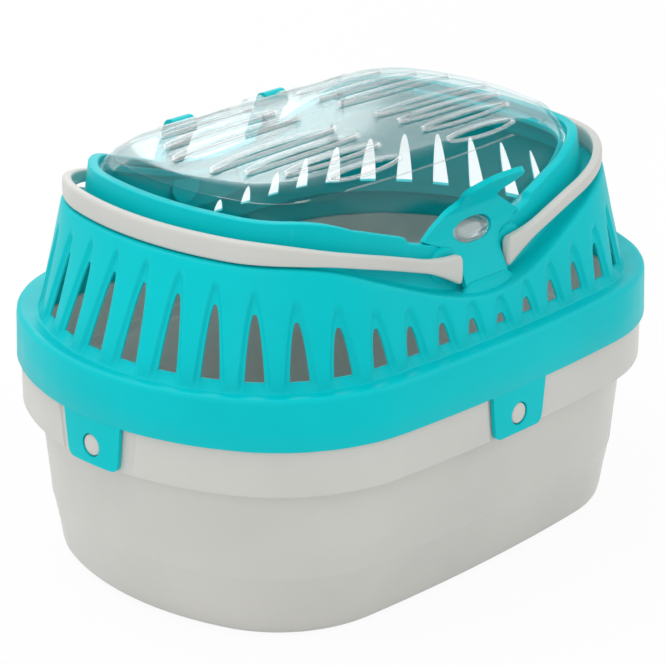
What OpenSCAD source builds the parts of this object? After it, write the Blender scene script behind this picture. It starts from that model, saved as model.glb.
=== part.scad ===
// Plastic carrier for a small pet: a tub, a slotted top shell that snaps on it,
// a clear hinged lid with a sprung latch tongue, and two swinging carry handles.
// X runs along the length, the latch is at the front (-Y) and the lid hinge at the back (+Y).
// Millimetres, +Z up, origin under the middle of the tub's base.

/* [Plan outline] */
// Length over the skirt band
body_length = 300; // [280:1:330]
// Width over the skirt band
body_width = 217.6; // [205:0.2:235]
// Corner radius of the skirt band, as a share of its width
corner_share = 0.3585; // [0.33:0.0005:0.38]
// How far the long sides bow out
side_bow = 2.9; // [2:0.1:4]
// How far the short ends bow out
end_bow = 3.6; // [2.5:0.1:4.5]

/* [Tub] */
// Height of the tapered lower part of the tub
tub_lower_height = 72; // [60:1:90]
// Height of the upright band that stays visible under the skirt
tub_band_height = 21.1; // [16:0.1:26]
// Height at which the lower part turns in to its rounded foot
tub_crease_height = 27; // [22:1:32]
// Wall of the tub
tub_wall = 2.4; // [1.8:0.1:3]
// Thickness of the tub's floor
tub_floor = 2.6; // [2:0.1:4]
// Step from the upright band in to the tapered part
tub_step = 8.4; // [6:0.1:9.5]
// Inset of the tub's flat base from the band outline
tub_base_inset = 23.6; // [21:0.1:26]

/* [Top shell] */
// Height of the skirt band
skirt_height = 23.3; // [18:0.1:28]
// Wall of the skirt band
skirt_wall = 1.7; // [1.4:0.1:2.2]
// Gap between the skirt and the tub's band
skirt_gap = 0.35; // [0.3:0.05:0.6]
// Wall of the slotted part and the collar
shell_wall = 2.6; // [2:0.1:3.2]
// Width of the ledge on top of the band at the ends
ledge_end = 16; // [14:0.5:18]
// Width of the ledge on top of the band at the sides
ledge_side = 9; // [8:0.5:11]
// Lean of the slotted wall, inward travel per millimetre of height
wall_draft = 0.25; // [0.15:0.01:0.3]
// Height of the slotted wall at the middle of the sides
wall_height_low = 17.9; // [16:0.1:22]
// How much higher the slotted wall is at the ends
wall_rise = 30; // [22:0.5:34]
// Distance from the middle over which the wall gains that height
rise_run = 112; // [100:1:118]

/* [Collar] */
// Width of the handle ledge on the shoulder at the ends
shoulder_end = 12.4; // [11:0.1:14]
// Width of the handle ledge on the shoulder at the sides
shoulder_side = 10.8; // [10:0.1:12]
// Height of the collar above the shoulder at the middle of the sides
collar_height = 23; // [20:0.5:26]
// How much higher the collar's rim is at the ends than at the middle
collar_rise = 22.5; // [18:0.5:26]
// Width of the rim on top of the collar
rim_width = 4.6; // [4:0.1:6]
// Depth of the lid's seat below the rim
seat_depth = 4.2; // [3.6:0.1:5]
// Width of the lid's seat
seat_width = 3.8; // [3:0.1:5]

/* [Slots] */
// Number of slots around the shell, two more than a multiple of four
slot_count = 42; // [34:4:46]
// Width of a slot at its foot
slot_width = 8.5; // [6:0.1:9.5]
// Height of the shortest slots, at the middle of the sides
slot_low = 4.3; // [4:0.1:6]
// Height of the tallest slots, at the ends
slot_high = 34.5; // [28:0.5:36]
// Distance of the slots' feet above the band's ledge
slot_lift = 4; // [3:0.1:6]

/* [Lid] */
// Wall of the clear lid
lid_wall = 2; // [1.6:0.1:2.6]
// Gap between the lid's edge and the collar
lid_gap = 0.6; // [0.5:0.1:0.8]
// Width of the lid's seat flange
flange_width = 3.2; // [2.6:0.1:3.6]
// Height of the crease where the skirt of the lid turns into its dome, over the rim
crease_height = 26.5; // [24:0.5:30]
// Lean of the lid's skirt at the front and back, inward travel over its height
crease_inset = 13.4; // [12:0.1:15]
// Height of the dome over the crease
dome_height = 12; // [10:0.5:20]
// Width of a vent in the lid
vent_width = 4.6; // [3:0.1:5.5]
// Distance between the rows of vents
vent_pitch = 13.4; // [11:0.1:13.6]
// Length of the longest vents
vent_length = 77; // [60:1:80]

/* [Latch] */
// Width of the tongue's stem
stem_width = 27.2; // [24:0.2:27.4]
// Width of the tongue across its shoulders
tongue_width = 62; // [56:1:66]
// Width of the thumb lip
lip_width = 31; // [26:0.5:32]
// How far the thumb lip curls outward
lip_reach = 15; // [10:0.5:18]
// Thickness of the tongue
tongue_wall = 2.5; // [2:0.1:3]
// Lean of the tongue from upright, in degrees
tongue_lean = 24.2; // [22:0.2:26]
// Width of the opening in the tongue
window_width = 24.4; // [20:0.2:25]
// Height of the opening in the tongue
window_height = 11.8; // [9:0.2:12.4]
// Gap around whatever snaps into an opening
snap_gap = 0.5; // [0.3:0.1:0.8]

/* [Handles] */
// Thickness of a handle
handle_wall = 4.5; // [3.8:0.1:5]
// Height of a handle at its grip
grip_height = 9.7; // [8:0.1:11]
// Height of a handle at its narrowest
neck_height = 6; // [5:0.1:8]
// Height of a handle at its pivots
eye_height = 13.6; // [12:0.1:14]
// Distance of a handle's pivots from the middle
pivot_x = 21; // [20:0.5:26]
// Height of the pivots above the shoulder's lowest point
pivot_lift = 13.3; // [12:0.1:15]
// How much higher a handle lies at its grip than at its pivots
handle_rise = 22.3; // [21:0.1:24]
// Diameter of the pivot pins
pin_diameter = 5; // [4:0.1:6]
// Radius of the bosses behind the pivots
boss_radius = 7; // [5.5:0.1:8]
// Clearance of a pin in its bore, on the diameter
pin_play = 0.2; // [0.1:0.05:0.4]

/* [Snap tabs] */
// Width of a tab at its root
tab_width = 35; // [30:0.5:40]
// Width of a tab at its foot
tab_foot_width = 30.5; // [26:0.5:34]
// Thickness of a tab
tab_wall = 2.2; // [1.8:0.1:2.6]
// Diameter of the hole in a tab
tab_hole = 10.4; // [8:0.1:12]
// Height of the hole above the tab's foot
tab_hole_lift = 8.8; // [8:0.1:11]
// Gap between a tab and the tub
tab_gap = 0.4; // [0.3:0.05:0.6]

/* [Lid hinge] */
// Distance of the ears' middle from the middle of the part
ear_x = 29.5; // [26:0.5:36]
// Width of an ear
ear_width = 12.5; // [10:0.5:20]
// Radius of an ear around its bore
ear_radius = 4.6; // [4.4:0.1:5.2]
// Diameter of the lid's hinge pins
hinge_pin = 4; // [3:0.1:5]

/* [Hidden] */
turquoise = "#00c4ca";
light_grey = "#cfcfcb";
clear = [0.88, 0.95, 0.96, 0.35];

// Segments of the end arc, the corner arc and the side arc in a quarter of the outline
end_steps = 4;
corner_steps = 9;
side_steps = 8;
quarter_steps = end_steps + corner_steps + side_steps;
ring_count = 4 * quarter_steps;

// Heights of the main levels
skirt_bottom = tub_lower_height + tub_band_height;
skirt_top = skirt_bottom + skirt_height;
wall_foot = skirt_top - 0.6;
shoulder_low = wall_foot + wall_height_low;
rim_low = shoulder_low + collar_height;
crease_z = rim_low + crease_height;
slot_bottom = wall_foot + slot_lift;

// Insets that several pieces share, from the outside of the skirt band
corner_radius = body_width * corner_share;
tub_band_inset = skirt_wall + skirt_gap;
tub_rim_z = skirt_bottom + 4.6;
recess_inset = 0.2 + tab_wall + tab_gap;
collar_draft = 0.22;
rim_side = ledge_side + wall_height_low * wall_draft + shoulder_side + 3.7;
rim_end = ledge_end + wall_height_low * wall_draft + shoulder_end + 4.1;
rim_draft = 0.2;
notch_half = tongue_width / 2 + 9;
notch_depth = 2.4;
lid_edge = rim_width + lid_gap;

// Latch tongue: where its stem starts and how its face leans
stem_z = shoulder_low + 3.9;
tongue_setback = 4.7;
face_y = -(body_width / 2 - ledge_side - wall_height_low * wall_draft - tongue_setback);
window_lift = 22.8;
boss_reach = 7;
tongue_foot_y = face_y + (stem_z - shoulder_low) * tan(tongue_lean);
window_y = tongue_foot_y + window_lift * sin(tongue_lean);
window_z = stem_z + window_lift * cos(tongue_lean);

// Handles: pivot height and the surface they lie in
pivot_z = shoulder_low + pivot_lift;
handle_end_inset = ledge_end + 13.4;
handle_side_inset = ledge_side + 11.6;
handle_run = body_length * 0.3;
grip_from = body_length * 0.2733;
handle_arcs = arcs(handle_end_inset, handle_side_inset);
handle_gap = 0.3;
pin_depth = 4;
boss_edge = pivot_x + boss_radius;
boss_face = handle_arcs[1] - handle_arcs[3] + sqrt(handle_arcs[3] * handle_arcs[3] - boss_edge * boss_edge)
    - handle_wall - handle_gap;

// Lid hinge axis
hinge_y = body_width / 2 - rim_side - 10.6;
hinge_z = crease_z - 4.8;
knuckle_width = 10;
knuckle_gap = 0.5;

// Tabs
tab_foot_z = tub_lower_height + 0.15;
tab_height = tub_band_height - 0.3;
tab_hole_z = tub_lower_height + tab_hole_lift;
button_radius = tab_hole / 2 - 0.4;

// ---------- outline ----------

// Where the arcs of one quarter of the inset outline meet:
// [half length, half width, corner radius, side radius, end radius, corner centre, side angle, end angle]
function arcs(end_in, side_in) =
    let (a = body_length / 2 - end_in)
    let (b = body_width / 2 - side_in)
    let (r = corner_radius - (end_in + side_in) / 2)
    let (side_r = (a - r) * (a - r) / (2 * side_bow))
    let (end_r = (b - r) * (b - r) / (2 * end_bow))
    let (p = [0, b - side_r])
    let (q = [a - end_r, 0])
    let (span = norm(q - p))
    let (along = ((side_r - r) * (side_r - r) - (end_r - r) * (end_r - r) + span * span) / (2 * span))
    let (away = sqrt((side_r - r) * (side_r - r) - along * along))
    let (u = (q - p) / span)
    let (centre = p + along * u + away * [u[1], -u[0]])
    [a, b, r, side_r, end_r, centre,
        atan2(centre[1] - p[1], centre[0] - p[0]), atan2(centre[1] - q[1], centre[0] - q[0])];

// Point of the first quarter at step j, counted from the end to the side
function quarter_point(j, g) =
    j <= end_steps ?
        [g[0] - g[4], 0] + g[4] * [cos(g[7] * j / end_steps), sin(g[7] * j / end_steps)] :
    j <= end_steps + corner_steps ?
        let (t = g[7] + (g[6] - g[7]) * (j - end_steps) / corner_steps)
        g[5] + g[2] * [cos(t), sin(t)] :
        let (t = g[6] + (90 - g[6]) * (j - end_steps - corner_steps) / side_steps)
        [0, g[1] - g[3]] + g[3] * [cos(t), sin(t)];

// Point k of the whole inset outline, counted anticlockwise from +X
function ring_point(k, end_in, side_in) =
    let (q = floor(k / quarter_steps))
    let (j = k % quarter_steps)
    let (p = quarter_point(q % 2 == 0 ? j : quarter_steps - j, arcs(end_in, side_in)))
    [(q == 0 || q == 3) ? p[0] : -p[0], q < 2 ? p[1] : -p[1]];

function outline(end_in, side_in) = [for (k = [0:ring_count - 1]) ring_point(k, end_in, side_in)];

// X of each outline point on the wall's foot, which sets the height of the curved levels
foot_x = [for (p = outline(ledge_end, ledge_side)) p[0]];

// Smooth 0 to 1 gain over a run
function swell(x, run) = (1 - cos(180 * min(abs(x), run) / run)) / 2;

function shoulder_z(x) = shoulder_low + wall_rise * swell(x, rise_run);
function rim_z(x) = rim_low + collar_rise * swell(x, rise_run - 4);

// Insets of the wall, the collar's foot and the collar's rim at a height
function wall_in(z) = (z - wall_foot) * wall_draft;
function foot_end(z) = ledge_end + wall_height_low * wall_draft + shoulder_end - 1 + (z - shoulder_low) * collar_draft;
function foot_side(z) = ledge_side + wall_height_low * wall_draft + shoulder_side + (z - shoulder_low) * collar_draft;
function rim_end_in(z) = rim_end + (z - rim_low) * rim_draft;
function rim_side_in(z) = rim_side + (z - rim_low) * rim_draft;

// A closed skin of stacked rings. Each ring has ring_count points. A loop joins its last ring to
// its first, a stack is capped at both ends.
module skin(rings, loop) {
    n = ring_count;
    m = len(rings);
    last = loop ? m - 1 : m - 2;
    sides = [for (i = [0:last]) for (k = [0:n - 1])
        let (a = i * n + k)
        let (b = i * n + (k + 1) % n)
        let (c = ((i + 1) % m) * n + (k + 1) % n)
        let (d = ((i + 1) % m) * n + k)
        each [[a, c, b], [a, d, c]]];
    caps = loop ? [] : [[for (k = [0:n - 1]) k], [for (k = [n - 1:-1:0]) (m - 1) * n + k]];
    polyhedron(points = [for (r = rings) each r], faces = concat(sides, caps), convexity = 8);
}

function flat_ring(end_in, side_in, z) = [for (p = outline(end_in, side_in)) [p[0], p[1], z]];

// Ring on the slotted wall at a share of its height, moved in and up
function wall_ring(share, inward, up) = [for (k = [0:ring_count - 1])
    let (z = wall_foot + share * (shoulder_z(foot_x[k]) - wall_foot))
    let (p = ring_point(k, ledge_end + wall_in(z) + inward, ledge_side + wall_in(z) + inward))
    [p[0], p[1], z + up]];

// Ring at the collar's foot, moved in and up
function foot_ring(inward, up) = [for (k = [0:ring_count - 1])
    let (z = shoulder_z(foot_x[k]))
    let (p = ring_point(k, foot_end(z) + inward, foot_side(z) + inward))
    [p[0], p[1], z + up]];

// Ring at the collar's rim, moved in and up
function rim_ring(inward, up) = [for (k = [0:ring_count - 1])
    let (z = rim_z(foot_x[k]))
    let (p = ring_point(k, rim_end_in(z) + inward, rim_side_in(z) + inward))
    [p[0], p[1], z + up]];

// The lid's seat is left out along the back, where the lid's edge dips as it opens
function seat_in(k) =
    let (back = ring_point(k, rim_end, rim_side)[1] > body_width / 4)
    back ? 0.4 : seat_width;

function seat_ring(up) = [for (k = [0:ring_count - 1])
    let (z = rim_z(foot_x[k]))
    let (inward = rim_width + 0.2 + seat_in(k))
    let (p = ring_point(k, rim_end_in(z) + inward, rim_side_in(z) + inward))
    [p[0], p[1], z + up]];

// ---------- tub ----------

function tub_outside() = [
    flat_ring(tub_base_inset, tub_base_inset - 0.8, 0),
    flat_ring(tub_base_inset - 3.4, tub_base_inset - 4, 1.6),
    flat_ring(tub_base_inset - 4.6, tub_base_inset - 5, 5),
    flat_ring(tub_base_inset - 6, tub_base_inset - 6.2, tub_crease_height * 0.5),
    flat_ring(tub_base_inset - 8.4, tub_base_inset - 8.4, tub_crease_height - 0.8),
    flat_ring(tub_base_inset - 9, tub_base_inset - 9, tub_crease_height + 0.8),
    flat_ring(tub_base_inset - 9.4, tub_base_inset - 9.4, tub_crease_height + 7),
    flat_ring(tub_band_inset + tub_step + 2.1, tub_band_inset + tub_step + 2.1, tub_crease_height + 23),
    flat_ring(tub_band_inset + tub_step, tub_band_inset + tub_step, tub_lower_height - 0.4),
    flat_ring(tub_band_inset + 0.6, tub_band_inset + 0.6, tub_lower_height),
    flat_ring(tub_band_inset, tub_band_inset, tub_lower_height + 0.6),
    flat_ring(tub_band_inset, tub_band_inset, tub_rim_z)];

function tub_inside() = [
    flat_ring(tub_band_inset + tub_wall, tub_band_inset + tub_wall, tub_rim_z),
    flat_ring(tub_band_inset + tub_wall, tub_band_inset + tub_wall, tub_lower_height + 0.6 + tub_wall),
    flat_ring(tub_band_inset + tub_step + tub_wall, tub_band_inset + tub_step + tub_wall,
        tub_lower_height + tub_wall - 0.6),
    flat_ring(tub_band_inset + tub_step + 2.1 + tub_wall, tub_band_inset + tub_step + 2.1 + tub_wall,
        tub_crease_height + 23),
    flat_ring(tub_base_inset - 9.2 + tub_wall, tub_base_inset - 9.2 + tub_wall, tub_crease_height + 1.6),
    flat_ring(tub_base_inset - 6 + tub_wall, tub_base_inset - 6 + tub_wall, tub_crease_height * 0.5 + 1),
    flat_ring(tub_base_inset - 3.4 + tub_wall, tub_base_inset - 3.4 + tub_wall, tub_floor + 2.6),
    flat_ring(tub_base_inset + tub_wall, tub_base_inset + tub_wall, tub_floor)];

// Outline of a snap tab seen from outside, with its foot at the origin, grown by a margin
module tab_shape(margin) {
    foot = tab_foot_width / 2 + margin;
    root = tab_width / 2 + margin;
    r = 3;
    difference() {
        polygon([[-foot, -margin], [foot, -margin], [root, tab_height + margin], [-root, tab_height + margin]]);
        for (s = [-1, 1])
            translate([s * foot, -margin])
                difference() {
                    square(2 * r, center = true);
                    translate([-s * r, r]) circle(r, $fn = 32);
                }
    }
}

// Puts its children at each tab: 0 front, 1 right, 2 back, 3 left
module at_tab(i) {
    reach = i % 2 == 0 ? body_width / 2 : body_length / 2;
    rotate([0, 0, 90 * i]) translate([0, -reach, 0]) children();
}

// Slab that follows the band's outline between two insets
module band_slab(outer_in, inner_in, bottom, top) {
    translate([0, 0, bottom])
        linear_extrude(top - bottom)
            difference() {
                polygon(outline(outer_in, outer_in));
                polygon(outline(inner_in, inner_in));
            }
}

// The block that a tab outline cuts out of a slab
module tab_block(i, margin) {
    at_tab(i)
        translate([0, 12, tab_foot_z])
            rotate([90, 0, 0])
                linear_extrude(24) {
                    tab_shape(margin);
                    children();
                }
}

// The tab's recess runs on up to the tub's rim, so that the tab slides out of it as the shell lifts
module tab_recess(i) {
    side = 1;
    intersection() {
        band_slab(-2, recess_inset, tub_lower_height - 1, tub_rim_z + 1);
        tab_block(i, side)
            translate([-tab_width / 2 - side, tab_height])
                square([tab_width + 2 * side, tub_rim_z - tub_lower_height]);
    }
}

module tub() {
    color(light_grey) {
        difference() {
            skin(concat(tub_outside(), tub_inside()), false);
            for (i = [0:3])
                tab_recess(i);
        }
        for (i = [0:3])
            at_tab(i)
                translate([0, 0.6, tab_hole_z])
                    rotate([-90, 0, 0]) cylinder(h = recess_inset + 0.8, r = button_radius, $fn = 48);
    }
}

// ---------- top shell ----------

function shell_section() = [
    flat_ring(0, 0, skirt_bottom),
    flat_ring(0.8, 0.8, skirt_top - 2),
    flat_ring(2.8, 2.8, skirt_top),
    wall_ring(0, 0, 0),
    wall_ring(0.5, 0, 0),
    wall_ring(1, 0, -1.6),
    wall_ring(1, 1.6, 0),
    foot_ring(0, 0.6),
    rim_ring(0, -1.6),
    rim_ring(1.2, 0),
    rim_ring(rim_width - 0.6, -0.2),
    rim_ring(rim_width, -seat_depth),
    seat_ring(-seat_depth - 0.2),
    seat_ring(-seat_depth - 3),
    rim_ring(rim_width * 0.5 + 0.9, -seat_depth - 5),
    foot_ring(shell_wall, -shell_wall),
    wall_ring(1, 1.8, -shell_wall - 1.2),
    wall_ring(0.5, shell_wall, 0),
    wall_ring(0, shell_wall, -shell_wall),
    flat_ring(skirt_wall + 1.4, skirt_wall + 1.4, skirt_top - 2.4),
    flat_ring(skirt_wall, skirt_wall, skirt_top - 3.6),
    flat_ring(skirt_wall, skirt_wall, skirt_bottom)];

// Lengths of the arcs in a quarter of the wall's foot, and the slots along it
foot_arcs = arcs(ledge_end, ledge_side);
side_length = foot_arcs[3] * (90 - foot_arcs[6]) * PI / 180;
corner_length = foot_arcs[2] * (foot_arcs[6] - foot_arcs[7]) * PI / 180;
end_length = foot_arcs[4] * foot_arcs[7] * PI / 180;
slot_pitch = 4 * (side_length + corner_length + end_length) / slot_count;

// Place on the quarter at a distance from the middle of the side: [x, y, outward angle]
function place(s) =
    s <= side_length ?
        let (t = 90 - s / foot_arcs[3] * 180 / PI)
        [foot_arcs[3] * cos(t), foot_arcs[1] - foot_arcs[3] + foot_arcs[3] * sin(t), t] :
    s <= side_length + corner_length ?
        let (t = foot_arcs[6] - (s - side_length) / foot_arcs[2] * 180 / PI)
        [foot_arcs[5][0] + foot_arcs[2] * cos(t), foot_arcs[5][1] + foot_arcs[2] * sin(t), t] :
        let (t = foot_arcs[7] - (s - side_length - corner_length) / foot_arcs[4] * 180 / PI)
        [foot_arcs[0] - foot_arcs[4] + foot_arcs[4] * cos(t), foot_arcs[4] * sin(t), t];

// Distance of slot i from the middle of the side: the spacing grows a little towards the ends
function slot_place(i) =
    let (u = i * 4 / slot_count)
    i * slot_pitch * (0.93 + 0.07 * u);

// Height of the slot whose foot is x from the middle
function slot_height(x) =
    let (t = min(1, abs(x) / (body_length / 2 - ledge_end)))
    slot_low + (slot_high - slot_low) * t * (0.55 + 0.45 * t);

// Pointed arch with a flat foot
module slot_shape(h) {
    w = slot_width / 2 * min(1, 0.62 + 0.38 * h / 20);
    polygon([[-w, 0], [w, 0], [w * 0.8, h * 0.42], [w * 0.48, h * 0.8], [w * 0.2, h * 0.98],
        [-w * 0.2, h * 0.98], [-w * 0.48, h * 0.8], [-w * 0.8, h * 0.42]]);
}

module slot_cut(s) {
    p = place(s);
    translate([p[0], p[1], slot_bottom])
        rotate([0, 0, p[2] - 90])
            translate([0, 2, 0])
                rotate([90, 0, 0])
                    linear_extrude(3 + shell_wall + wall_in(slot_bottom + slot_height(p[0])) + 2)
                        slot_shape(slot_height(p[0]));
}

// All slots: one at the middle of each side, the rest mirrored into four quarters
module slot_cuts() {
    for (m = [0, 1])
        mirror([0, m, 0]) {
            slot_cut(0);
            for (i = [1:floor(slot_count / 4)])
                for (n = [0, 1])
                    mirror([n, 0, 0]) slot_cut(slot_place(i));
        }
}

// Front view of one half of the tongue, [x, z]: stem, shoulder, hollow neck and thumb lip
function tongue_half(margin) =
    let (w = tongue_width / 2 + margin)
    let (neck = lip_width / 2 - 2 + margin)
    let (lip = lip_width / 2 + margin)
    let (hollow = w - neck)
    concat(
        [[stem_width / 2 + margin, stem_z - margin], [stem_width / 2 + margin, window_z - 7.4 - margin],
            [stem_width / 2 + 1.6 + margin, window_z - 6 - margin], [w, window_z + 1.3 - margin]],
        [for (q = [[0.354, 3.8], [0.617, 6.5], [0.863, 9.6], [1, 13.4]]) [w - hollow * q[0], window_z + q[1]]],
        [[lip, window_z + 19], [lip, window_z + 22]],
        [for (t = [1:4]) [lip * cos(22 * t), window_z + 22 + 6.6 * sin(22 * t)]]);

module tongue_outline(margin) {
    half = tongue_half(margin);
    n = len(half);
    polygon(concat(half, [for (i = [n - 1:-1:0]) [-half[i][0], half[i][1]]]));
}

// Side view of the tongue, [y, z]: leaning stem, upright middle and outward curl
function tongue_curve() = [
    [tongue_foot_y, stem_z],
    [window_y - 0.8, window_z - 1.8],
    [window_y + 0.3, window_z + 2.2],
    [window_y + 0.2, window_z + 6.6],
    [window_y - 0.8, window_z + 10.6],
    [window_y - 0.24 * lip_reach, window_z + 15],
    [window_y - 0.56 * lip_reach, window_z + 20.6],
    [window_y - 0.92 * lip_reach, window_z + 27],
    [window_y - lip_reach, window_z + 28.4]];

// Puts its children on the leaning face of the latch: their XY plane is that face, +Z points outward
module on_face() {
    translate([0, tongue_foot_y, stem_z])
        rotate([90 - tongue_lean, 0, 0]) children();
}

// The tongue's socket in the collar
module tongue_cut() {
    translate([0, -body_width / 4, 0])
        rotate([90, 0, 0])
            linear_extrude(body_width / 4) tongue_outline(0.35);
}

// Lowered stretch of the rim on both sides of the tongue
module rim_notch() {
    top = rim_z(notch_half) + notch_depth;
    rotate([90, 0, 0])
        linear_extrude(body_width)
            polygon(concat([[notch_half + notch_depth, top], [-notch_half - notch_depth, top]],
                [for (t = [-1:0.125:1]) [t * notch_half, rim_z(t * notch_half) - notch_depth]]));
}

// Root of the tongue on the shoulder
module tongue_root() {
    y = tongue_foot_y;
    half = stem_width / 2;
    translate([-half, 0, 0])
        rotate([90, 0, 90])
            linear_extrude(2 * half)
                polygon([[face_y - 1.4, shoulder_low - 1.6], [face_y - 0.2, shoulder_low + 0.6], [y, stem_z - 0.35],
                    [y + tongue_wall + 1.6, stem_z - 0.35], [y + tongue_wall + 1.6, shoulder_low - 2.2]]);
}

// Boss behind one handle pivot, on the front
module pivot_boss(side) {
    translate([side * pivot_x, -boss_face, pivot_z])
        rotate([-90, 0, 0]) cylinder(h = pin_depth + 3, r = boss_radius, $fn = 64);
}

module pivot_bore(side) {
    translate([side * pivot_x, -boss_face - 1, pivot_z])
        rotate([-90, 0, 0]) cylinder(h = pin_depth + 1.6, r = (pin_diameter + pin_play) / 2, $fn = 48);
}

// One hinge ear: a leaning web from the collar up to a round eye
module hinge_ear(side) {
    foot_y = body_width / 2 - rim_side - 2.6;
    translate([side * ear_x - ear_width / 2, 0, 0])
        rotate([90, 0, 90])
            linear_extrude(ear_width) {
                translate([hinge_y, hinge_z]) circle(ear_radius, $fn = 48);
                polygon([[foot_y + 2, rim_low - 5], [foot_y + 2.2, rim_low + 3],
                    [hinge_y + ear_radius * 0.92, hinge_z + 1.6],
                    [hinge_y + 0.2, hinge_z - ear_radius * 0.96], [foot_y - 1.4, rim_low + 1],
                    [foot_y - 1.2, rim_low - 5]]);
            }
}

module top_shell() {
    color(turquoise)
        difference() {
            union() {
                difference() {
                    skin(shell_section(), true);
                    tongue_cut();
                    rim_notch();
                }
                tongue_root();
                for (m = [0, 1])
                    mirror([0, m, 0])
                        for (s = [-1, 1])
                            pivot_boss(s);
                for (s = [-1, 1])
                    hinge_ear(s);
            }
            slot_cuts();
            for (m = [0, 1])
                mirror([0, m, 0])
                    for (s = [-1, 1])
                        pivot_bore(s);
            translate([-body_length / 4, hinge_y, hinge_z])
                rotate([0, 90, 0])
                    cylinder(h = body_length / 2, r = (hinge_pin + pin_play) / 2, $fn = 48);
        }
}

// ---------- latch tongue ----------

module latch_tongue() {
    curve = tongue_curve();
    n = len(curve);
    color(turquoise)
        difference() {
            intersection() {
                translate([-tongue_width, 0, 0])
                    rotate([90, 0, 90])
                        linear_extrude(2 * tongue_width)
                            polygon(concat(curve, [for (i = [n - 1:-1:0]) curve[i] + [tongue_wall, 0.5]]));
                rotate([90, 0, 0])
                    linear_extrude(body_width) tongue_outline(0);
            }
            on_face()
                translate([0, window_lift, -tongue_wall - 3])
                    linear_extrude(tongue_wall + 6) window_shape(0);
        }
}

// Opening with round ends, shrunk by a margin
module window_shape(margin) {
    r = window_height / 2 - margin;
    reach = window_width / 2 - window_height / 2;
    square([2 * reach, 2 * r], center = true);
    for (s = [-1, 1])
        translate([s * reach, 0]) circle(r, $fn = 48);
}

// ---------- lid ----------

// Ring on the lid's skirt: share 0 at the seat, 1 at the crease
function lid_ring(share, inward, up) = [for (k = [0:ring_count - 1])
    let (rz = rim_z(foot_x[k]))
    let (low = [rim_end_in(rz) + lid_edge + flange_width, rim_side_in(rz) + lid_edge + flange_width, rz - 1.4])
    let (high = [rim_end_in(rim_low + collar_rise) + lid_edge + flange_width - 0.6,
        rim_side + lid_edge + crease_inset, crease_z])
    let (q = low + share * (high - low))
    let (p = ring_point(k, q[0] + inward, q[1] + inward))
    [p[0], p[1], q[2] + up]];

// Ring on the dome, at a share of the way from the crease to the middle
function dome_ring(share, inward, up) =
    let (edge = lid_ring(1, inward, 0))
    [for (p = edge) [p[0] * (1 - share), p[1] * (1 - share),
        crease_z + up + dome_height * (1 - pow(1 - share, 2.4))]];

function lid_section() = [
    dome_ring(0.97, lid_wall, -lid_wall),
    dome_ring(0.7, lid_wall, -lid_wall),
    dome_ring(0.45, lid_wall, -lid_wall),
    dome_ring(0.25, lid_wall, -lid_wall),
    dome_ring(0.1, lid_wall, -lid_wall),
    lid_ring(1, lid_wall, -lid_wall * 0.8),
    lid_ring(0.5, lid_wall, -0.6),
    lid_ring(0, lid_wall, -2.4),
    rim_ring(lid_edge, -seat_depth + 0.3),
    rim_ring(lid_edge, -seat_depth + 2.1),
    lid_ring(0, 0, 0),
    lid_ring(0.5, 0, 0),
    lid_ring(1, 0, 0),
    dome_ring(0.03, 0, 0.5),
    dome_ring(0.1, 0, 0),
    dome_ring(0.25, 0, 0),
    dome_ring(0.45, 0, 0),
    dome_ring(0.7, 0, 0),
    dome_ring(0.97, 0, 0)];

// Vents: rows along X on each side of the middle, longest near the middle
module vents() {
    for (row = [0:3])
        for (m = [0, 1])
            for (n = [0, 1])
                mirror([0, m, 0]) mirror([n, 0, 0]) {
                    reach = vent_length * (1 - 0.08 * row - 0.02 * row * row) - vent_width;
                    start = 15 + 0.3 * row * row;
                    translate([start, vent_pitch * (row + 0.86), crease_z - 20])
                        linear_extrude(dome_height + 30) {
                            translate([0, -vent_width / 2]) square([reach, vent_width]);
                            circle(vent_width / 2, $fn = 24);
                            translate([reach, 0]) circle(vent_width / 2, $fn = 24);
                        }
                }
}

// Oval boss that the tongue's opening snaps over
module latch_boss() {
    on_face()
        translate([0, window_lift, -tongue_wall - boss_reach])
            linear_extrude(boss_reach + tongue_wall - 0.7) window_shape(snap_gap);
}

// Knuckle on the lid beside an ear, with its pin
module lid_knuckle(side) {
    inner = ear_x - ear_width / 2 - knuckle_gap;
    skirt_y = body_width / 2 - rim_side - lid_edge - crease_inset + 1.4;
    mirror([side < 0 ? 1 : 0, 0, 0]) {
        translate([inner - knuckle_width, 0, 0])
            rotate([90, 0, 90])
                linear_extrude(knuckle_width) {
                    translate([hinge_y, hinge_z]) circle(ear_radius - 0.8, $fn = 48);
                    polygon([[hinge_y, hinge_z + ear_radius - 1.2], [hinge_y, hinge_z - ear_radius + 1.2],
                        [skirt_y + 1.6, hinge_z - ear_radius - 1], [skirt_y - 1, hinge_z + ear_radius - 2]]);
                }
        translate([inner - 1, hinge_y, hinge_z])
            rotate([0, 90, 0]) cylinder(h = ear_width * 0.8 + 1, r = hinge_pin / 2, $fn = 48);
    }
}

module lid() {
    color(clear) {
        difference() {
            skin(lid_section(), false);
            vents();
        }
        latch_boss();
        for (s = [-1, 1])
            lid_knuckle(s);
    }
}

// ---------- handles ----------

function ease(t) = let (u = max(0, min(1, t))) u * u * (3 - 2 * u);

// Height of a handle's section and of its middle, x from the middle of the part
function bar_height(x) = neck_height + (grip_height - neck_height) * ease((x - grip_from) / 36)
    + (eye_height - neck_height) * ease((pivot_x + 21 - x) / 20);
function bar_z(x) =
    let (u = min(1, (x - pivot_x) / handle_run))
    pivot_z + handle_rise * u * (1.3 - 0.3 * u * u * u);

handle_side = handle_arcs[3] * (90 - handle_arcs[6]) * PI / 180;
handle_corner = handle_arcs[2] * (handle_arcs[6] - handle_arcs[7]) * PI / 180;
handle_end = handle_arcs[4] * handle_arcs[7] * PI / 180;
handle_start = pivot_x - 6.4;
handle_total = handle_side + handle_corner + handle_end;
handle_stations = 38;

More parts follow.
